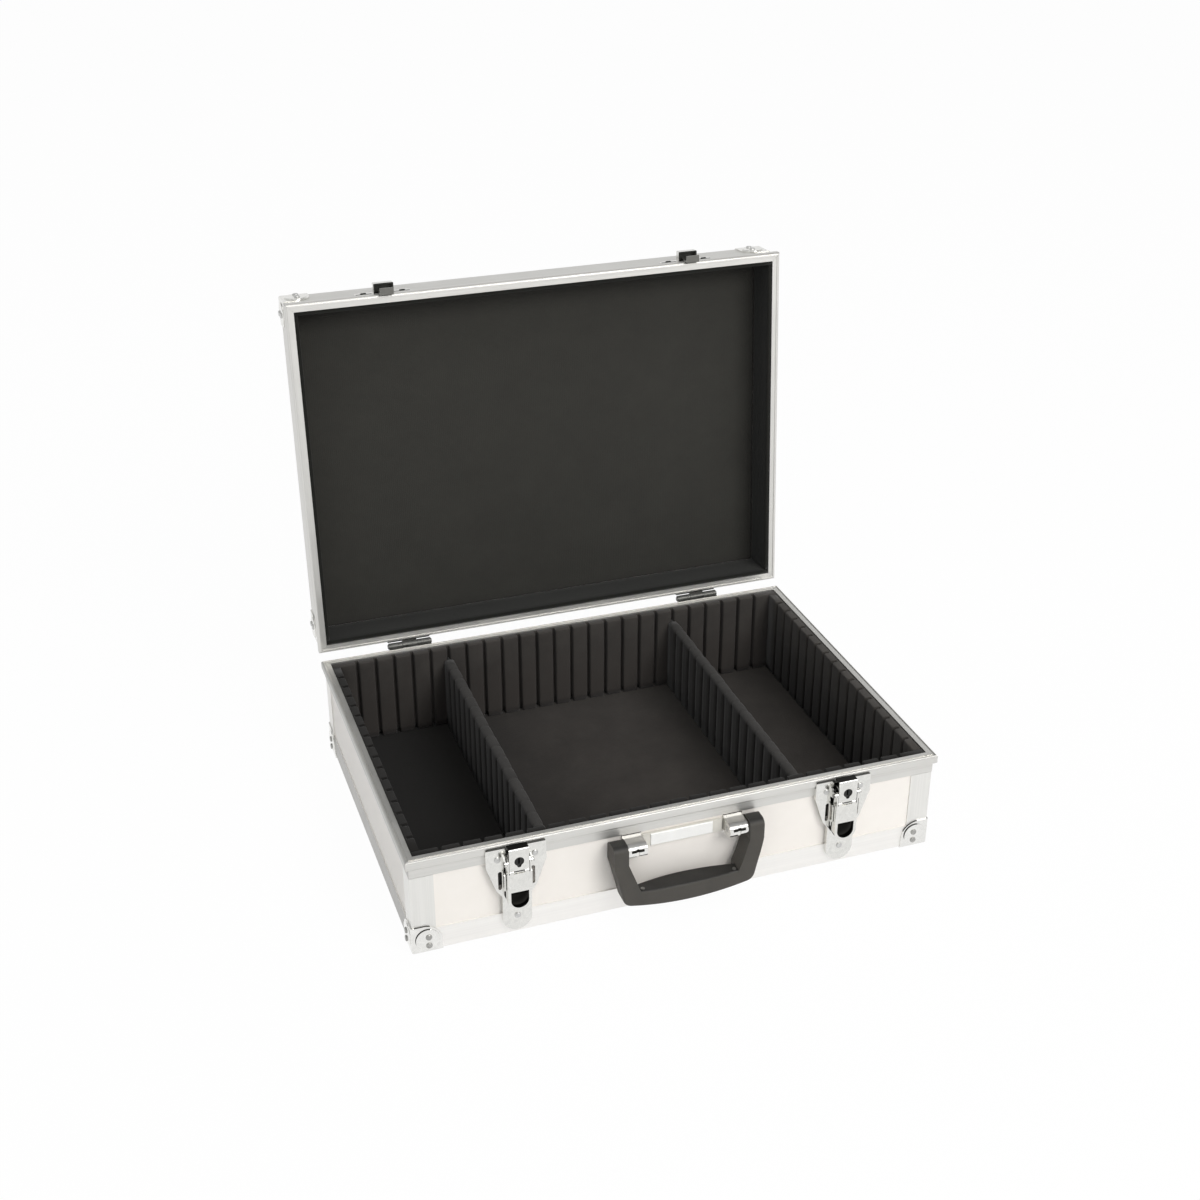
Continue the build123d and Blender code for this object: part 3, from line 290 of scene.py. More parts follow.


# Drawn aluminium, whose grain runs along each length. Aside is the tone of painted shade on faces
# that look to the left, and nose that of painted shade on the rims' rounds.
def extrusion_look(
    name,
    on_lid=False,
    upright=False,
    low=ALUMINIUM_LOW,
    high=ALUMINIUM_HIGH,
    aside=None,
    nose=None,
):
    look = Look(name, on_lid)
    look.fixed(Metallic=0.82, Specular_IOR_Level=0.5)
    if upright:
        streaks = look.noise(1.0, 3.0, 0.6, look.scaled(GRAIN, GRAIN, GRAIN_RUN))
        wide = look.noise(1.0, 2.0, 0.5, look.scaled(BAND, BAND, BAND_RUN))
    else:
        x, y, _ = look.place()
        across = look.sum(x, 0.0, "ABSOLUTE")
        depth = look.sum(y, 0.0, "ABSOLUTE")
        inset = look.sum(across, (HALF_WIDTH - HALF_DEPTH) * MM, "SUBTRACT")
        side_length = look.sum(inset, depth, "GREATER_THAN")
        along_x = look.noise(1.0, 3.0, 0.6, look.scaled(GRAIN_RUN, GRAIN, GRAIN))
        along_y = look.noise(1.0, 3.0, 0.6, look.scaled(GRAIN, GRAIN_RUN, GRAIN))
        streaks = look.mixed_value(side_length, along_x, along_y)
        wide_x = look.noise(1.0, 2.0, 0.5, look.scaled(BAND_RUN, BAND, BAND))
        wide_y = look.noise(1.0, 2.0, 0.5, look.scaled(BAND, BAND_RUN, BAND))
        wide = look.mixed_value(side_length, wide_x, wide_y)
    cloud = look.noise(26.0, 3.0)
    fine_tone = look.spread(streaks, 0.3, 0.7, 0.0, 0.45)
    tone = look.sum(fine_tone, look.spread(wide, 0.3, 0.7, 0.0, 0.35))
    tone = look.sum(tone, look.spread(cloud, 0.3, 0.7, 0.0, 0.2))
    colour = look.blended(tone, low, high)
    if aside is not None:
        colour = look.blended(facing_against(look, "X"), colour, aside)
    if nose is not None:
        colour = look.blended(slanting_up(look), colour, nose)
    look.into("Base Color", colour)
    look.into("Roughness", look.spread(look.sum(streaks, cloud), 0.7, 1.3, 0.34, 0.5))
    fine = look.bumped(streaks, 0.00002, 0.35)
    look.into("Normal", look.bumped(wide, 0.00006, 0.25, fine))
    return look.material


# A smooth light sheet with a faint pebbled grain, with painted shade where something hides it
def panel_look(name, on_lid=False, hidden=None):
    look = Look(name, on_lid)
    look.fixed(Metallic=0.0, Specular_IOR_Level=0.42, Coat_Weight=0.06, Coat_Roughness=0.3)
    grain = look.noise(2600.0, 2.0, 0.6)
    pebbles = look.cells(900.0)
    cloud = look.noise(14.0, 4.0, 0.6)
    smudge = look.noise(60.0, 3.0, 0.6, distortion=0.6)
    tone = look.sum(look.spread(cloud, 0.3, 0.7, 0.0, 0.7), look.spread(smudge, 0.35, 0.7, 0.0, 0.3))
    colour = look.blended(tone, PANEL_LOW, PANEL_HIGH)
    if hidden is not None:
        colour = look.blended(inside_box(look, **hidden), colour, SHADE_GREY)
    look.into("Base Color", colour)
    look.into("Roughness", look.spread(look.sum(grain, smudge), 0.7, 1.3, 0.36, 0.5))
    fine = look.bumped(grain, 0.00003, 0.3)
    look.into("Normal", look.bumped(pebbles, 0.00005, 0.22, fine))
    return look.material


# Bright plate. Above is the tone of painted shade on faces that look up, and each shade is a mask
# of painted shade with its sizes and its tone.
def chrome_look(name, on_lid=False, base=CHROME, rough=(0.1, 0.24), above=None, shades=()):
    look = Look(name, on_lid)
    look.fixed(Metallic=1.0)
    smudge = look.noise(190.0, 4.0, 0.65, distortion=0.8)
    ripple = look.noise(420.0, 2.0, 0.5)
    scratch = look.noise(1.0, 2.0, 0.7, look.scaled(2200, 500, 90))
    darker = tuple(0.86 * part for part in base)
    colour = look.blended(look.spread(smudge, 0.25, 0.7, 0.0, 1.0), darker, base)
    uneven = look.sum(look.spread(smudge, 0.3, 0.75, 0.0, 0.7), look.spread(scratch, 0.55, 0.8, 0.0, 0.3))
    roughness = look.spread(uneven, 0.0, 1.0, *rough)
    if above is not None:
        upward = facing(look)
        colour = look.blended(upward, colour, above)
        roughness = look.sum(roughness, look.sum(upward, 0.25, "MULTIPLY"))
    for mask, sizes, shade in shades:
        shaded = mask(look, **sizes)
        colour = look.blended(shaded, colour, shade)
        roughness = look.sum(roughness, look.sum(shaded, 0.4, "MULTIPLY"))
    look.into("Base Color", colour)
    look.into("Roughness", roughness)
    fine = look.bumped(scratch, 0.000012, 0.25)
    look.into("Normal", look.bumped(ripple, 0.00012, 0.22, fine))
    return look.material


def steel_look(name, on_lid=False, low=(0.5, 0.5, 0.49), high=(0.66, 0.66, 0.65), metallic=0.9):
    look = Look(name, on_lid)
    look.fixed(Metallic=metallic)
    turned = look.noise(1.0, 3.0, 0.6, look.scaled(2400, 700, 700))
    dull = look.noise(240.0, 3.0, 0.6)
    look.into("Base Color", look.blended(look.spread(dull, 0.3, 0.7, 0.0, 1.0), low, high))
    look.into("Roughness", look.spread(look.sum(turned, dull), 0.7, 1.3, 0.24, 0.48))
    look.into("Normal", look.bumped(turned, 0.00003, 0.35))
    return look.material


# Open foam. Where a shade tone is given, painted shade darkens it toward the foot, or toward one end
# where across gives the range, and weave is the scale of a cloth's net over it.
def foam_look(name, on_lid=False, low=FOAM_DARK, high=FOAM_DARK, weave=0.0, shade_tone=None, across=None):
    look = Look(name, on_lid)
    look.fixed(Metallic=0.0, Specular_IOR_Level=0.18, Sheen_Weight=0.12, Sheen_Roughness=0.55)
    pores = look.cells(1900.0)
    coarse = look.cells(620.0, feature="SMOOTH_F1")
    dust = look.noise(30.0, 5.0, 0.65)
    speck = look.noise(3200.0, 2.0, 0.7)
    tone = look.sum(look.spread(dust, 0.3, 0.72, 0.0, 0.6), look.spread(speck, 0.3, 0.75, 0.0, 0.25))
    tone = look.sum(tone, look.spread(pores, 0.0, 0.5, 0.2, 0.0))
    colour = look.blended(tone, low, high)
    if shade_tone is not None:
        x, _, z = look.place()
        along = look.sum(z if across is None else x, look.sum(dust, 0.03, "MULTIPLY"))
        start, end = across or (0.036, 0.086)
        colour = look.blended(look.spread(along, start, end, 0.0, 1.0), shade_tone, colour)
    look.into("Base Color", colour)
    look.into("Roughness", look.spread(look.sum(speck, dust), 0.6, 1.3, 0.78, 0.95))
    fine = look.bumped(pores, 0.00012, 0.55)
    normal = look.bumped(coarse, 0.0002, 0.3, fine)
    if weave:
        ribs = look.add("ShaderNodeTexWave", bands_direction="X")
        ribs.inputs["Scale"].default_value = weave
        look.link(look.point, ribs.inputs["Vector"])
        rows = look.add("ShaderNodeTexWave", bands_direction="Y")
        rows.inputs["Scale"].default_value = weave
        look.link(look.point, rows.inputs["Vector"])
        net = look.sum(ribs.outputs["Fac"], rows.outputs["Fac"], "MULTIPLY")
        normal = look.bumped(net, 0.00015, 0.35, normal)
    look.into("Normal", normal)
    return look.material


# Moulded plastic; above, where given, is the tone of painted shade on faces that look up
def plastic_look(name, low, high, rough, grain=1500.0, depth=0.00006, above=None):
    look = Look(name)
    look.fixed(Metallic=0.0, Specular_IOR_Level=0.45)
    spark = look.noise(grain, 3.0, 0.65)
    pits = look.cells(grain * 0.8)
    wear = look.noise(70.0, 4.0, 0.6)
    colour = look.blended(look.spread(wear, 0.3, 0.72, 0.0, 1.0), low, high)
    if above is not None:
        colour = look.blended(facing(look), colour, above)
    look.into("Base Color", colour)
    look.into("Roughness", look.spread(look.sum(spark, wear), 0.7, 1.3, *rough))
    fine = look.bumped(spark, depth, 0.5)
    look.into("Normal", look.bumped(pits, depth, 0.25, fine))
    return look.material


def dress(material, *names):
    for name in names:
        mesh = nodes[name].data
        mesh.materials.clear()
        mesh.materials.append(material)
        for face in mesh.polygons:
            face.material_index = 0


# The rims are painted darker on their rounds, and the base's also on faces that look left: painted shade
extrusion = extrusion_look("extrusion", aside=(0.5, 0.495, 0.475), nose=(0.44, 0.436, 0.42))
# A lighter copy of the same aluminium for the bottom edges, painted light, with painted shade on faces
# that look left
bottom_extrusion = extrusion_look(
    "bottom_extrusion",
    low=(0.86, 0.845, 0.82),
    high=(0.94, 0.925, 0.90),
    aside=(0.42, 0.415, 0.40),
)
lid_extrusion = extrusion_look("lid_extrusion", on_lid=True, nose=(0.5, 0.495, 0.475))
# A lighter copy of the same aluminium for the corner posts: painted light
post_extrusion = extrusion_look(
    "post_extrusion",
    upright=True,
    low=(0.74, 0.735, 0.71),
    high=(0.86, 0.853, 0.825),
)
# Painted shade on the front panel behind the latches
shade_behind_latches = dict(middle=LATCH_X, half=12.9, out=(BEHIND, 9.0), low=45.5, high=62.5, mirrored=True)
panel = panel_look("panel", hidden=shade_behind_latches)
lid_panel = panel_look("lid_panel", on_lid=True)
# Painted shade on the upper left of the corner caps' buttons
cap_chrome = chrome_look(
    "cap_chrome",
    base=(0.87, 0.865, 0.84),
    rough=(0.16, 0.3),
    shades=(
        (upper_left, dict(middle=-202.5, half=6.0), SHADE_GREY),
        (upper_left, dict(middle=195.0, half=6.0), SHADE_GREY),
    ),
)
lid_cap_chrome = chrome_look("lid_cap_chrome", on_lid=True, rough=(0.16, 0.3))
# Painted shade: the brackets are darker on faces that look up, and black in their slits
bracket_slit_shade = dict(middle=BRACKET_X, half=5.0, out=(14.0, 15.95), low=60.1, high=62.7, mirrored=True)
bracket_chrome = chrome_look(
    "bracket_chrome",
    base=(0.84, 0.835, 0.81),
    rough=(0.08, 0.18),
    above=(0.25, 0.247, 0.24),
    shades=((inside_box, bracket_slit_shade, SHADE_BLACK),),
)
steel = steel_look("steel")
lid_steel = steel_look("lid_steel", on_lid=True)
hinge_steel = steel_look("hinge_steel", low=HINGE_LOW, high=HINGE_HIGH, metallic=0.7)
lid_hinge_steel = steel_look(
    "lid_hinge_steel",
    on_lid=True,
    low=HINGE_LOW,
    high=HINGE_HIGH,
    metallic=0.7,
)
cap_rivet_steel = steel_look(
    "cap_rivet_steel",
    low=(0.3, 0.297, 0.285),
    high=(0.44, 0.437, 0.42),
    metallic=0.8,
)
pin_steel = steel_look("pin_steel", low=(0.16, 0.158, 0.15), high=(0.28, 0.275, 0.26), metallic=0.8)
lock_steel = steel_look(
    "lock_steel",
    low=(0.008, 0.008, 0.0076),
    high=(0.022, 0.022, 0.021),
    metallic=0.4,
)
# Painted shade: the grip's faces that look up are near black
grip_plastic = plastic_look(
    "grip_plastic",
    low=(0.044, 0.040, 0.034),
    high=(0.060, 0.055, 0.047),
    rough=(0.46, 0.64),
    above=(0.0085, 0.0078, 0.0062),
)
carrier_white = plastic_look(
    "carrier_white",
    low=(0.66, 0.64, 0.585),
    high=(0.74, 0.72, 0.66),
    rough=(0.3, 0.45),
)
plate_white = plastic_look(
    "plate_white",
    low=(0.88, 0.88, 0.865),
    high=(0.93, 0.93, 0.915),
    rough=(0.14, 0.26),
    grain=900.0,
    depth=0.00001,
)
# Copies of one black foam: the front and left walls are painted darker, painted shade, and the rear and
# right walls lighter, painted light
foam = foam_look("foam", high=(0.015, 0.0135, 0.0122))
rear_foam = foam_look(
    "rear_foam",
    low=(0.036, 0.0325, 0.030),
    high=(0.074, 0.067, 0.061),
    shade_tone=(0.05, 0.044, 0.04),
)
side_foam = foam_look(
    "side_foam",
    low=(0.038, 0.0345, 0.031),
    high=(0.08, 0.073, 0.066),
    shade_tone=(0.02, 0.018, 0.0162),
)
# The floor is painted darker toward its left end: painted shade in the left compartment
floor_foam = foam_look(
    "floor_foam",
    low=(0.025, 0.0215, 0.019),
    high=(0.05, 0.044, 0.039),
    shade_tone=(0.0078, 0.0071, 0.0065),
    across=(-0.12, 0.0),
)
divider_foam = foam_look("divider_foam", low=(0.022, 0.0205, 0.0195), high=(0.05, 0.047, 0.044))
lid_foam = foam_look(
    "lid_foam",
    on_lid=True,
    low=(0.030, 0.029, 0.0255),
    high=(0.042, 0.041, 0.036),
    weave=190.0,
)
# A darker copy of the lid's foam for its walls: painted shade
lid_wall_foam = foam_look(
    "lid_wall_foam",
    on_lid=True,
    low=(0.006, 0.0062, 0.005),
    high=(0.012, 0.0125, 0.010),
)
# Painted shadow: the strike rivets are near black at their feet, along the shadow at the foot of the
# wings
rivet_foot_shade = dict(
    middle=LATCH_X,
    half=22.2,
    out=(BEHIND, 6.0),
    low=84.0,
    high=STRIKE_LOW + 4.6,
    mirrored=True,
)
strike_rivet_chrome = chrome_look(
    "strike_rivet_chrome",
    on_lid=True,
    base=(0.66, 0.655, 0.63),
    rough=(0.2, 0.34),
    shades=((inside_box, rivet_foot_shade, SHADE_NEAR_BLACK),),
)

dress(extrusion, "base_rim")
dress(bottom_extrusion, "base_bottom_edges")
dress(post_extrusion, "base_corner_posts")
dress(lid_extrusion, "lid_rim", "lid_top_edges")
dress(panel, "bottom_panel", "front_panel", "rear_panel", "left_panel", "right_panel")
dress(lid_panel, "lid_top_panel", "lid_front_panel", "lid_rear_panel")
dress(lid_panel, "lid_left_panel", "lid_right_panel")
dress(cap_chrome, "base_corner_caps")
dress(lid_cap_chrome, "lid_corner_caps")
dress(bracket_chrome, "handle_bracket_left", "handle_bracket_right")
dress(steel, "latch_rivets", "handle_pins")
dress(pin_steel, "handle_screws")
dress(cap_rivet_steel, "base_cap_rivets")
dress(lid_steel, "lid_cap_rivets")
dress(hinge_steel, "hinge_base_rivets")
dress(lid_hinge_steel, "hinge_lid_rivets")
dress(grip_plastic, "handle_grip")
dress(carrier_white, "handle_plate")
dress(plate_white, "name_plate")
dress(strike_rivet_chrome, "strike_rivets")


# A latch, with painted shade between its plate, lever and hasp and in its gaps and holes, and a
# painted shadow line along the top of its plate, under the rim
def dress_latch(side, middle):
    sheltered = dict(middle=middle, half=8.6, out=(BEHIND, 6.0), low=38.0, high=66.0)
    behind_hole = dict(middle=middle + 1.9, height=35.6, radius=8.6, out=6.0)
    top_line = dict(low=80.9, high=83.0)
    plate_shades = (
        (inside_box, sheltered, SHADE_BLACK),
        (inside_disc, behind_hole, SHADE_BLACK),
        (between_heights, top_line, SHADOW_LINE_GREY),
    )
    dress(chrome_look("plate_chrome_" + side, shades=plate_shades), "latch_plate_" + side)

    lever_inside = dict(middle=middle, half=8.8, out=(BEHIND, 11.9), low=24.0, high=64.0)
    lever_shades = ((inside_box, lever_inside, SHADE_BLACK),)
    dress(chrome_look("lever_chrome_" + side, shades=lever_shades), "latch_lever_" + side)

    slot = dict(middle=middle, half=7.8, out=(BEHIND, 12.1), low=81.0, high=86.0)
    hasp_inside = dict(middle=middle, half=7.5, out=(BEHIND, 11.85), low=60.0, high=81.0)
    seam = dict(low=64.0, high=65.1)
    hasp_shades = (
        (inside_box, slot, SHADE_BLACK),
        (inside_box, hasp_inside, SHADE_INSIDE_CHROME),
        (between_heights, seam, SHADOW_LINE_GREY),
    )
    dress(chrome_look("hasp_chrome_" + side, shades=hasp_shades), "latch_hasp_" + side)
    dress(pin_steel, "lever_pins_" + side, "hasp_pin_" + side)
    dress(lock_steel, "lock_barrel_" + side)


# A strike, with painted shade inside its hood and on faces that look down, a painted shadow along
# the foot of its wings, and a painted lighter grey on the end of its tongue
def dress_strike(side, middle):
    wing_shadows = [
        dict(middle=middle + aside, half=6.6, out=(BEHIND, 6.0), low=84.0, high=STRIKE_LOW + 5.0)
        for aside in (-WING_X, WING_X)
    ]
    shades = (
        (facing_against, dict(axis="Y"), (0.045, 0.046, 0.042)),
        (facing_against, dict(axis="Z"), SHADE_NEAR_BLACK),
        (between_heights, dict(low=79.0, high=84.6), (0.34, 0.338, 0.32)),
        (inside_box, wing_shadows[0], SHADE_NEAR_BLACK),
        (inside_box, wing_shadows[1], SHADE_NEAR_BLACK),
    )
    chrome = chrome_look(
        "strike_chrome_" + side,
        on_lid=True,
        base=(0.74, 0.735, 0.71),
        rough=(0.16, 0.3),
        shades=shades,
    )
    dress(chrome, "strike_" + side)


for side, middle in (("left", -LATCH_X), ("right", LATCH_X)):
    dress_latch(side, middle)
    dress_strike(side, middle)
    dress(hinge_steel, "hinge_base_leaf_" + side, "hinge_pin_" + side)
    dress(lid_hinge_steel, "hinge_lid_leaf_" + side)


# A foam piece takes the place of a solid and moves with its body
def make(name, points, faces, material, body, stands_for, pose=None):
    mesh = bpy.data.meshes.new(name)
    mesh.from_pydata([Vector(p) * MM for p in points], [], faces)
    if pose is not None:
        mesh.transform(pose)
    mesh.validate()
    mesh.update()
    for face in mesh.polygons:
        face.use_smooth = True
    piece = bpy.data.objects.new(name, mesh)
    bpy.context.scene.collection.objects.link(piece)
    mesh.materials.append(material)
    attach(piece, body)
    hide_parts(stands_for)
    return piece


# Quads between equal rings of points, closed at both ends
def skin(count, rings):
    faces = []
    for ring in range(rings - 1):
        for index in range(count):
            a = ring * count + index
            b = ring * count + (index + 1) % count
            faces.append((a, b, b + count, a + count))
    last = (rings - 1) * count
    faces.append(tuple(reversed(range(count))))
    faces.append(tuple(range(last, last + count)))
    return faces


# Sideways step from a slot's edge, and the share of the slot's depth there
WALL_SLOT_STEPS = ((-0.9, 0.0), (-0.35, 0.03), (0.0, 0.14), (0.12, 0.9), (0.4, 1.0))
DIVIDER_SLOT_STEPS = ((-0.7, 0.0), (0.0, 0.45), (0.3, 1.0))
BETWEEN_SLOTS = (0.33, 0.67)


# Where a wall's cross sections stand, with the share of a slot's depth at each
def wall_stations(half_length, slots):
    first = -(slots - 1) / 2 * SLOT_PITCH
    edge = SLOT_WIDTH / 2
    shoulder = -WALL_SLOT_STEPS[0][0]
    steps = [(-edge + step, depth) for step, depth in WALL_SLOT_STEPS]
    stations = [(-half_length, 0.0)]
    for number in range(slots):
        middle = first + number * SLOT_PITCH
        stations += [(middle + offset, depth) for offset, depth in steps]
        stations += [(middle - offset, depth) for offset, depth in reversed(steps)]
        if number < slots - 1:
            flat = SLOT_PITCH - SLOT_WIDTH - 2 * shoulder
            stations += [(middle + edge + shoulder + part * flat, 0.0) for part in BETWEEN_SLOTS]
    stations.append((half_length, 0.0))
    return stations


# A wall's cross section from its back over its rounded top and down its face
def wall_section(back, front):
    section = [
        (back, WALL_LOW),
        (back, WALL_LOW + (FOAM_TOP - WALL_LOW) * 0.5),
        (back, FOAM_TOP - 0.4),
        (back - 0.4, FOAM_TOP),
    ]
    shoulder = FOAM_TOP - WALL_TOP_ROUND
    for turn in (90, 60, 30, 0):
        angle = math.radians(turn)
        out = front + WALL_TOP_ROUND - WALL_TOP_ROUND * math.cos(angle)
        section.append((out, shoulder + WALL_TOP_ROUND * math.sin(angle)))
    for row in range(1, WALL_ROWS + 1):
        section.append((front, shoulder - (shoulder - WALL_LOW) * row / WALL_ROWS))
    return section


# A wall is a row of cross sections, deeper at its slots, and slightly uneven
def slotted_wall(name, axis, side, half_length, slots, material, seed):
    back = (INNER_Y if axis == "x" else INNER_X) - RIM_LIP
    face = LINER_Y if axis == "x" else LINER_X
    stations = wall_stations(half_length, slots)
    points = []
    for along, depth in stations:
        section = wall_section(back, face + depth * SLOT_DEPTH)
        for out, z in section:
            near = 0.0 if out > back - 0.5 else 1.0
            sway = 0.22 * noise.noise(Vector((along * 0.06 + seed, out * 0.06, z * 0.045)))
            swell = 0.25 * noise.noise(Vector((along * 0.06, out * 0.06 + seed, z * 0.045)))
            swayed, reach = along + sway, out + swell * near
            if axis == "x":
                points.append((side * swayed, side * reach, z))
            else:
                points.append((side * reach, -side * swayed, z))
    faces = skin(len(section), len(stations))
    make(name, points, faces, material, "base", name.replace("foam_", "") + "_liner")


slotted_wall("foam_front", "x", -1, INNER_X - RIM_LIP, slots=24, material=foam, seed=3.0)
slotted_wall("foam_rear", "x", 1, INNER_X - RIM_LIP, slots=24, material=rear_foam, seed=11.0)
slotted_wall("foam_left", "y", -1, LINER_Y - 0.3, slots=16, material=foam, seed=19.0)
slotted_wall("foam_right", "y", 1, LINER_Y - 0.3, slots=16, material=side_foam, seed=27.0)


# A divider is a row of cross sections whose slots fade out below its rounded top
def divider(name, x, body, seed):
    foam_half = 137.0
    core_half = 142.0
    face = 4.5
    core = 1.5
    slots = 18
    first = -(slots - 1) / 2 * SLOT_PITCH
    edge = SLOT_WIDTH / 2
    shoulder = -DIVIDER_SLOT_STEPS[0][0]
    flat = SLOT_PITCH - SLOT_WIDTH - 2 * shoulder
    steps = [(-edge + step, depth) for step, depth in DIVIDER_SLOT_STEPS]
    stations = [(-core_half, core, 0.0), (-foam_half - 0.1, core, 0.0), (-foam_half, face, 0.0)]
    for number in range(slots):
        middle = first + number * SLOT_PITCH
        if abs(middle) + edge > foam_half:
            continue
        stations += [(middle + offset, face, depth) for offset, depth in steps]
        stations += [(middle - offset, face, depth) for offset, depth in reversed(steps)]
        for part in BETWEEN_SLOTS:
            between = middle + edge + shoulder + part * flat
            if between < foam_half:
                stations.append((between, face, 0.0))
    stations += [(foam_half, face, 0.0), (foam_half + 0.1, core, 0.0), (core_half, core, 0.0)]
    tall = DIVIDER_TOP - DIVIDER_LOW
    levels = [(0.0, 1.0), (0.25, 1.0), (0.5, 1.0), (0.75, 1.0), (1 - 7.0 / tall, 1.0)]
    levels += [(1 - 5.0 / tall, 0.75), (1 - 3.6 / tall, 0.35), (1 - BEAD_HEIGHT / tall, 0.2)]
    points = []
    for along, thick, depth in stations:
        section = []
        for share, fade in levels:
            wide = thick - depth * fade * (thick - core - 0.4)
            section.append((wide, DIVIDER_LOW + share * tall))
        bead = wide
        for step in (1, 2, 3):
            angle = math.radians(30 * step)
            rise = BEAD_HEIGHT * math.sin(angle)
            section.append((bead * math.cos(angle) ** 0.8, DIVIDER_TOP - BEAD_HEIGHT + rise))
        ring = [(-wide, z) for wide, z in section[:-1]] + [(0.0, section[-1][1])]
        ring += [(wide, z) for wide, z in reversed(section[:-1])]
        for wide, z in ring:
            height = (z - DIVIDER_LOW) / tall
            near_top = max(0.0, height - 0.8) / 0.2
            rope = 0.22 * noise.noise(Vector((wide * 0.5, along * 0.45, seed))) * near_top
            sway = 0.5 * noise.noise(Vector((seed, along * 0.02, z * 0.02))) * height
            lift = 0.7 * noise.noise(Vector((seed, along * 0.013, 3.0))) * height - 0.35 * height
            out = x + wide * (1 + 0.1 * rope) + rope + sway
            points.append((out, along, z + lift + rope * height))
    faces = skin(len(ring), len(stations))
    make(name, points, faces, divider_foam, body, name.replace("foam_", ""))


divider("foam_divider_left", -DIVIDER_X, "divider_left", seed=41.0)
divider("foam_divider_right", DIVIDER_X, "divider_right", seed=53.0)


# A slab whose face on the side up is soft at its edges and slightly uneven
def pad(name, low, high, up, cells, soft, wobble, seed, material, body, stands_for, pose=None):
    axis = "xyz".index(up[-1])
    sign = -1 if up[0] == "-" else 1
    flat = [index for index in range(3) if index != axis]
    a0, a1 = low[flat[0]], high[flat[0]]
    b0, b1 = low[flat[1]], high[flat[1]]
    top = high[axis] if sign > 0 else low[axis]
    bottom = low[axis] if sign > 0 else high[axis]
    columns, rows = cells
    points = []
    faces = []

    def put(a, b, level):
        point = [0.0, 0.0, 0.0]
        point[flat[0]], point[flat[1]], point[axis] = a, b, level
        points.append(tuple(point))

    for row in range(rows + 1):
        for column in range(columns + 1):
            a = a0 + soft + (a1 - a0 - 2 * soft) * column / columns
            b = b0 + soft + (b1 - b0 - 2 * soft) * row / rows
            edge = min(column, columns - column, row, rows - row)
            rise = wobble * noise.noise(Vector((a * 0.018 + seed, b * 0.018, seed)))
            put(a, b, top + sign * (rise - wobble * 0.7) * min(1, edge / 2))
    wide = columns + 1
    for row in range(rows):
        for column in range(columns):
            corner = row * wide + column
            faces.append((corner, corner + 1, corner + wide + 1, corner + wide))
    border = list(range(columns))
    border += [row * wide + columns for row in range(rows)]
    border += [rows * wide + column for column in range(columns, 0, -1)]
    border += [row * wide for row in range(rows, 0, -1)]
    previous = border
    for inset, level in (
        (0.5 * soft, top - sign * 0.13 * soft),
        (0.13 * soft, top - sign * 0.5 * soft),
        (0.0, top - sign * soft),
        (0.0, bottom),
    ):
        ring = []
        for index in border:
            a = points[index][flat[0]]
            b = points[index][flat[1]]
            grow = soft - inset
            column, row = index % wide, index // wide
            a += grow * ((column == columns) - (column == 0))
            b += grow * ((row == rows) - (row == 0))
            ring.append(len(points))
            put(a, b, level)
        for here in range(len(border)):
            there = (here + 1) % len(border)
            faces.append((previous[here], ring[here], ring[there], previous[there]))
        previous = ring
    faces.append(tuple(reversed(previous)))
    mirrored = sign * (1 if axis != 1 else -1) < 0
    if mirrored:
        faces = [tuple(reversed(face)) for face in faces]
    return make(name, points, faces, material, body, stands_for, pose=pose)


pad(
    "foam_floor",
    low=(-INNER_X + 0.2, -INNER_Y + 0.2, FLOOR_LOW),
    high=(INNER_X - 0.2, INNER_Y - 0.2, FLOOR_TOP),
    up="+z",
    cells=(60, 42),
    soft=0.5,
    wobble=0.5,
    seed=5.0,
    material=floor_foam,
    body="base",
    stands_for="floor_liner",
)
pad(
    "foam_lid_panel",
    low=(-LID_INNER_X - 0.5, -LID_INNER_Y - 0.5, LID_FOAM_FACE),
    high=(LID_INNER_X + 0.5, LID_INNER_Y + 0.5, LID_FOAM_BACK),
    up="-z",
    cells=(60, 42),
    soft=1.0,
    wobble=0.6,
    seed=7.0,
    material=lid_foam,
    body="lid",
    stands_for="lid_liner_panel",
    pose=LID_POSE,
)


def lid_strip(label, low, high, up, cells, seed):
    pad(
        "foam_lid_" + label,
        low,
        high,
        up,
        cells,
        soft=0.8,
        wobble=0.35,
        seed=seed,
        material=lid_wall_foam,
        body="lid",
        stands_for="lid_liner_walls",
        pose=LID_POSE,
    )


for side, label in ((-1, "front"), (1, "rear")):
    near, far = sorted((side * (INNER_Y - RIM_LIP), side * LID_INNER_Y))
    low = (-INNER_X + RIM_LIP, near, LID_FOAM_LOW)
    high = (INNER_X - RIM_LIP, far, LID_FOAM_FACE)
    lid_strip(label, low, high, "+y" if side < 0 else "-y", (60, 6), 13.0 + side)
for side, label in ((-1, "left"), (1, "right")):
    near, far = sorted((side * (INNER_X - RIM_LIP), side * LID_INNER_X))
    low = (near, -LID_INNER_Y + 0.3, LID_FOAM_LOW)
    high = (far, LID_INNER_Y - 0.3, LID_FOAM_FACE)
    lid_strip(label, low, high, "+x" if side < 0 else "-x", (42, 6), 17.0 + side)


FLOOR_REACH = 14.0
FLOOR_LEVEL = -0.0002
FLOOR_WHITE_SHARE = 0.97
WORLD_STRENGTH = 0.40


# One for rays from the camera, from a mirror or through glass
def seen_directly(tree):
    path = tree.nodes.new("ShaderNodeLightPath")
    seen = path.outputs["Is Camera Ray"]
    for kind in ("Is Glossy Ray", "Is Transmission Ray"):
        either = tree.nodes.new("ShaderNodeMath")
        either.operation = "MAXIMUM"
        tree.links.new(seen, either.inputs[0])
        tree.links.new(path.outputs[kind], either.inputs[1])
        seen = either.outputs[0]
    return seen


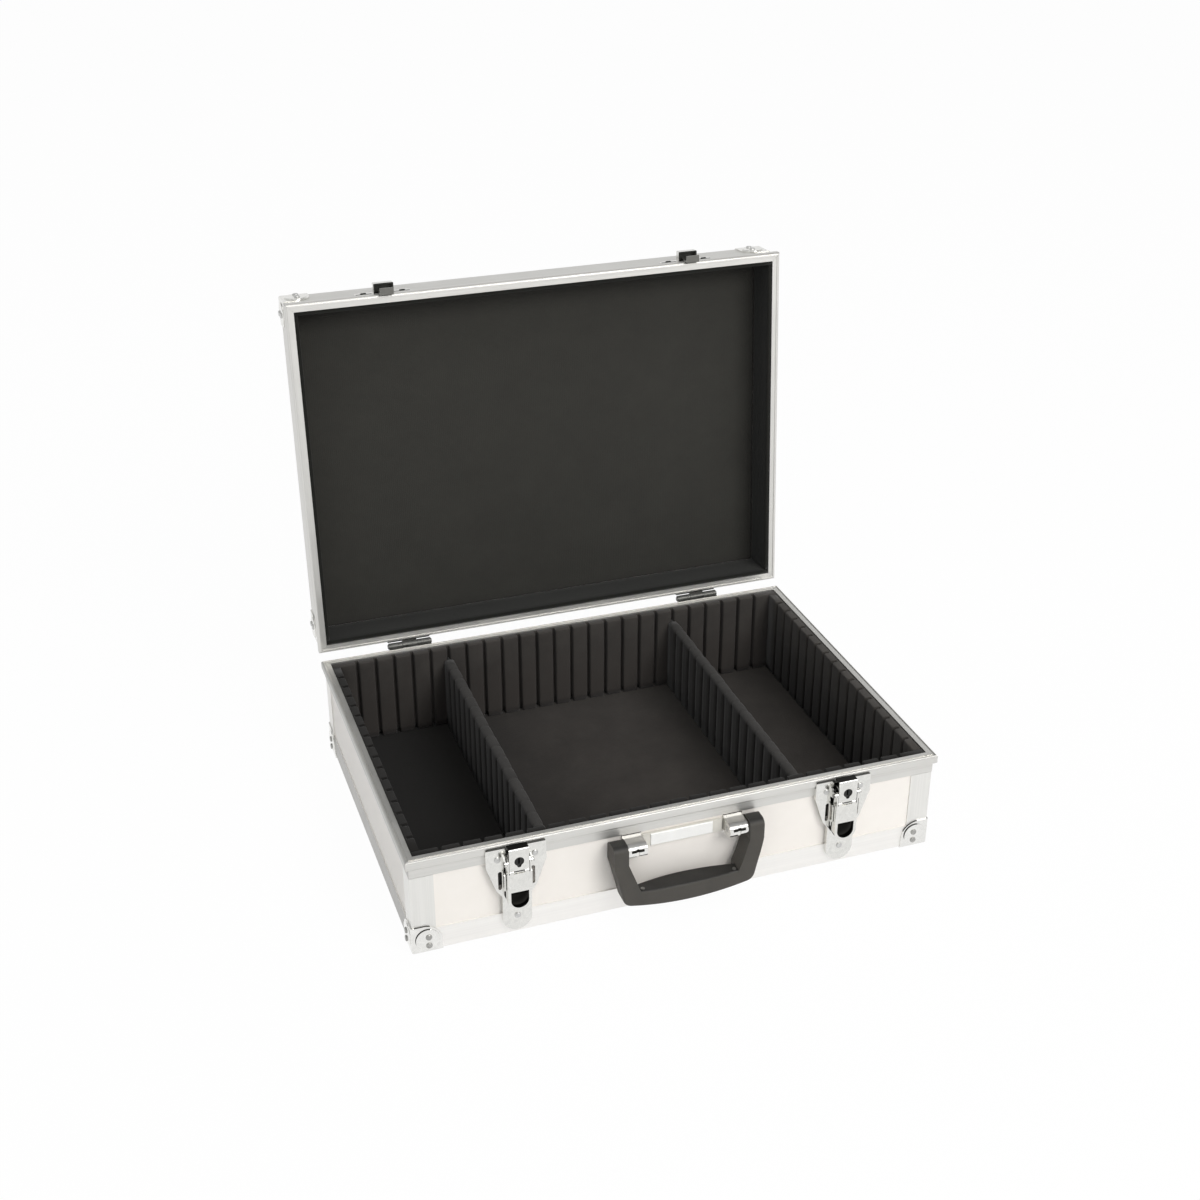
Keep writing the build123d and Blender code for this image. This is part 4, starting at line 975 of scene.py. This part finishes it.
# A pale floor, which shows as white but keeps a share of the object's shadow
def floor_material():
    material = bpy.data.materials.new("floor")
    material.use_nodes = True
    tree = material.node_tree
    shader = tree.nodes["Principled BSDF"]
    shader.inputs["Base Color"].default_value = (0.93, 0.93, 0.93, 1)
    shader.inputs["Roughness"].default_value = 0.9
    shader.inputs["Specular IOR Level"].default_value = 0.1
    light = tree.nodes.new("ShaderNodeEmission")
    light.inputs["Strength"].default_value = 1.0
    share = tree.nodes.new("ShaderNodeMath")
    share.operation = "MULTIPLY"
    share.inputs[1].default_value = FLOOR_WHITE_SHARE
    tree.links.new(seen_directly(tree), share.inputs[0])
    mix = tree.nodes.new("ShaderNodeMixShader")
    tree.links.new(share.outputs[0], mix.inputs[0])
    tree.links.new(shader.outputs[0], mix.inputs[1])
    tree.links.new(light.outputs[0], mix.inputs[2])
    tree.links.new(mix.outputs[0], tree.nodes["Material Output"].inputs["Surface"])
    return material


floor_mesh = bpy.data.meshes.new("stage_floor")
floor_mesh.from_pydata(
    [
        (-FLOOR_REACH, -FLOOR_REACH, FLOOR_LEVEL),
        (FLOOR_REACH, -FLOOR_REACH, FLOOR_LEVEL),
        (FLOOR_REACH, FLOOR_REACH, FLOOR_LEVEL),
        (-FLOOR_REACH, FLOOR_REACH, FLOOR_LEVEL),
    ],
    [],
    [(0, 1, 2, 3)],
)
floor = bpy.data.objects.new("stage_floor", floor_mesh)
bpy.context.scene.collection.objects.link(floor)
floor_mesh.materials.append(floor_material())
floor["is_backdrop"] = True


# An even light all round, with a backdrop that is white at the horizon and darker overhead
def world_light():
    world = bpy.data.worlds.new("studio")
    bpy.context.scene.world = world
    world.use_nodes = True
    tree = world.node_tree
    plain = tree.nodes["Background"]
    plain.inputs["Color"].default_value = (0.97, 0.985, 1.0, 1)
    plain.inputs["Strength"].default_value = WORLD_STRENGTH
    backdrop = tree.nodes.new("ShaderNodeBackground")
    coord = tree.nodes.new("ShaderNodeTexCoord")
    parts = tree.nodes.new("ShaderNodeSeparateXYZ")
    ramp = tree.nodes.new("ShaderNodeValToRGB")
    horizon, overhead = ramp.color_ramp.elements
    horizon.position = 0.12
    horizon.color = (1, 1, 1, 1)
    overhead.position = 0.75
    overhead.color = (0.42, 0.42, 0.42, 1)
    tree.links.new(coord.outputs["Generated"], parts.inputs[0])
    tree.links.new(parts.outputs[2], ramp.inputs[0])
    tree.links.new(ramp.outputs[0], backdrop.inputs["Color"])
    mix = tree.nodes.new("ShaderNodeMixShader")
    tree.links.new(seen_directly(tree), mix.inputs[0])
    tree.links.new(plain.outputs[0], mix.inputs[1])
    tree.links.new(backdrop.outputs[0], mix.inputs[2])
    tree.links.new(mix.outputs[0], tree.nodes["World Output"].inputs["Surface"])


world_light()


def lamp(name, spot, size, power, colour=(1, 1, 1)):
    data = bpy.data.lights.new(name, "AREA")
    data.shape = "RECTANGLE"
    data.size, data.size_y = size
    data.energy = power
    data.color = colour
    lit = bpy.data.objects.new(name, data)
    bpy.context.scene.collection.objects.link(lit)
    target = Vector((0, 0, 0.1))
    lit.location = spot
    lit.rotation_euler = (target - Vector(spot)).to_track_quat("-Z", "Y").to_euler()


lamp("key", (0.75, -1.9, 1.7), size=(1.3, 1.0), power=33.0, colour=(1.0, 0.985, 0.96))
lamp("top", (0.1, -0.3, 2.3), size=(1.8, 1.6), power=12.0)
lamp("fill", (-2.0, -0.8, 1.0), size=(1.2, 1.2), power=2.5, colour=(0.95, 1.0, 0.95))

camera_data = bpy.data.cameras.new("camera")
camera_data.sensor_width = SENSOR
camera_data.lens = SENSOR * FOCAL / PICTURE_WIDTH
camera = bpy.data.objects.new("camera", camera_data)
bpy.context.scene.collection.objects.link(camera)
back = Vector(
    (
        math.sin(AZIMUTH) * math.cos(ELEVATION),
        -math.cos(AZIMUTH) * math.cos(ELEVATION),
        math.sin(ELEVATION),
    )
)
camera.location = Vector(CAMERA_AT) * MM
camera.rotation_euler = back.to_track_quat("Z", "Y").to_euler()
bpy.context.scene.camera = camera
bpy.context.scene.view_settings.view_transform = "Standard"

low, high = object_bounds()
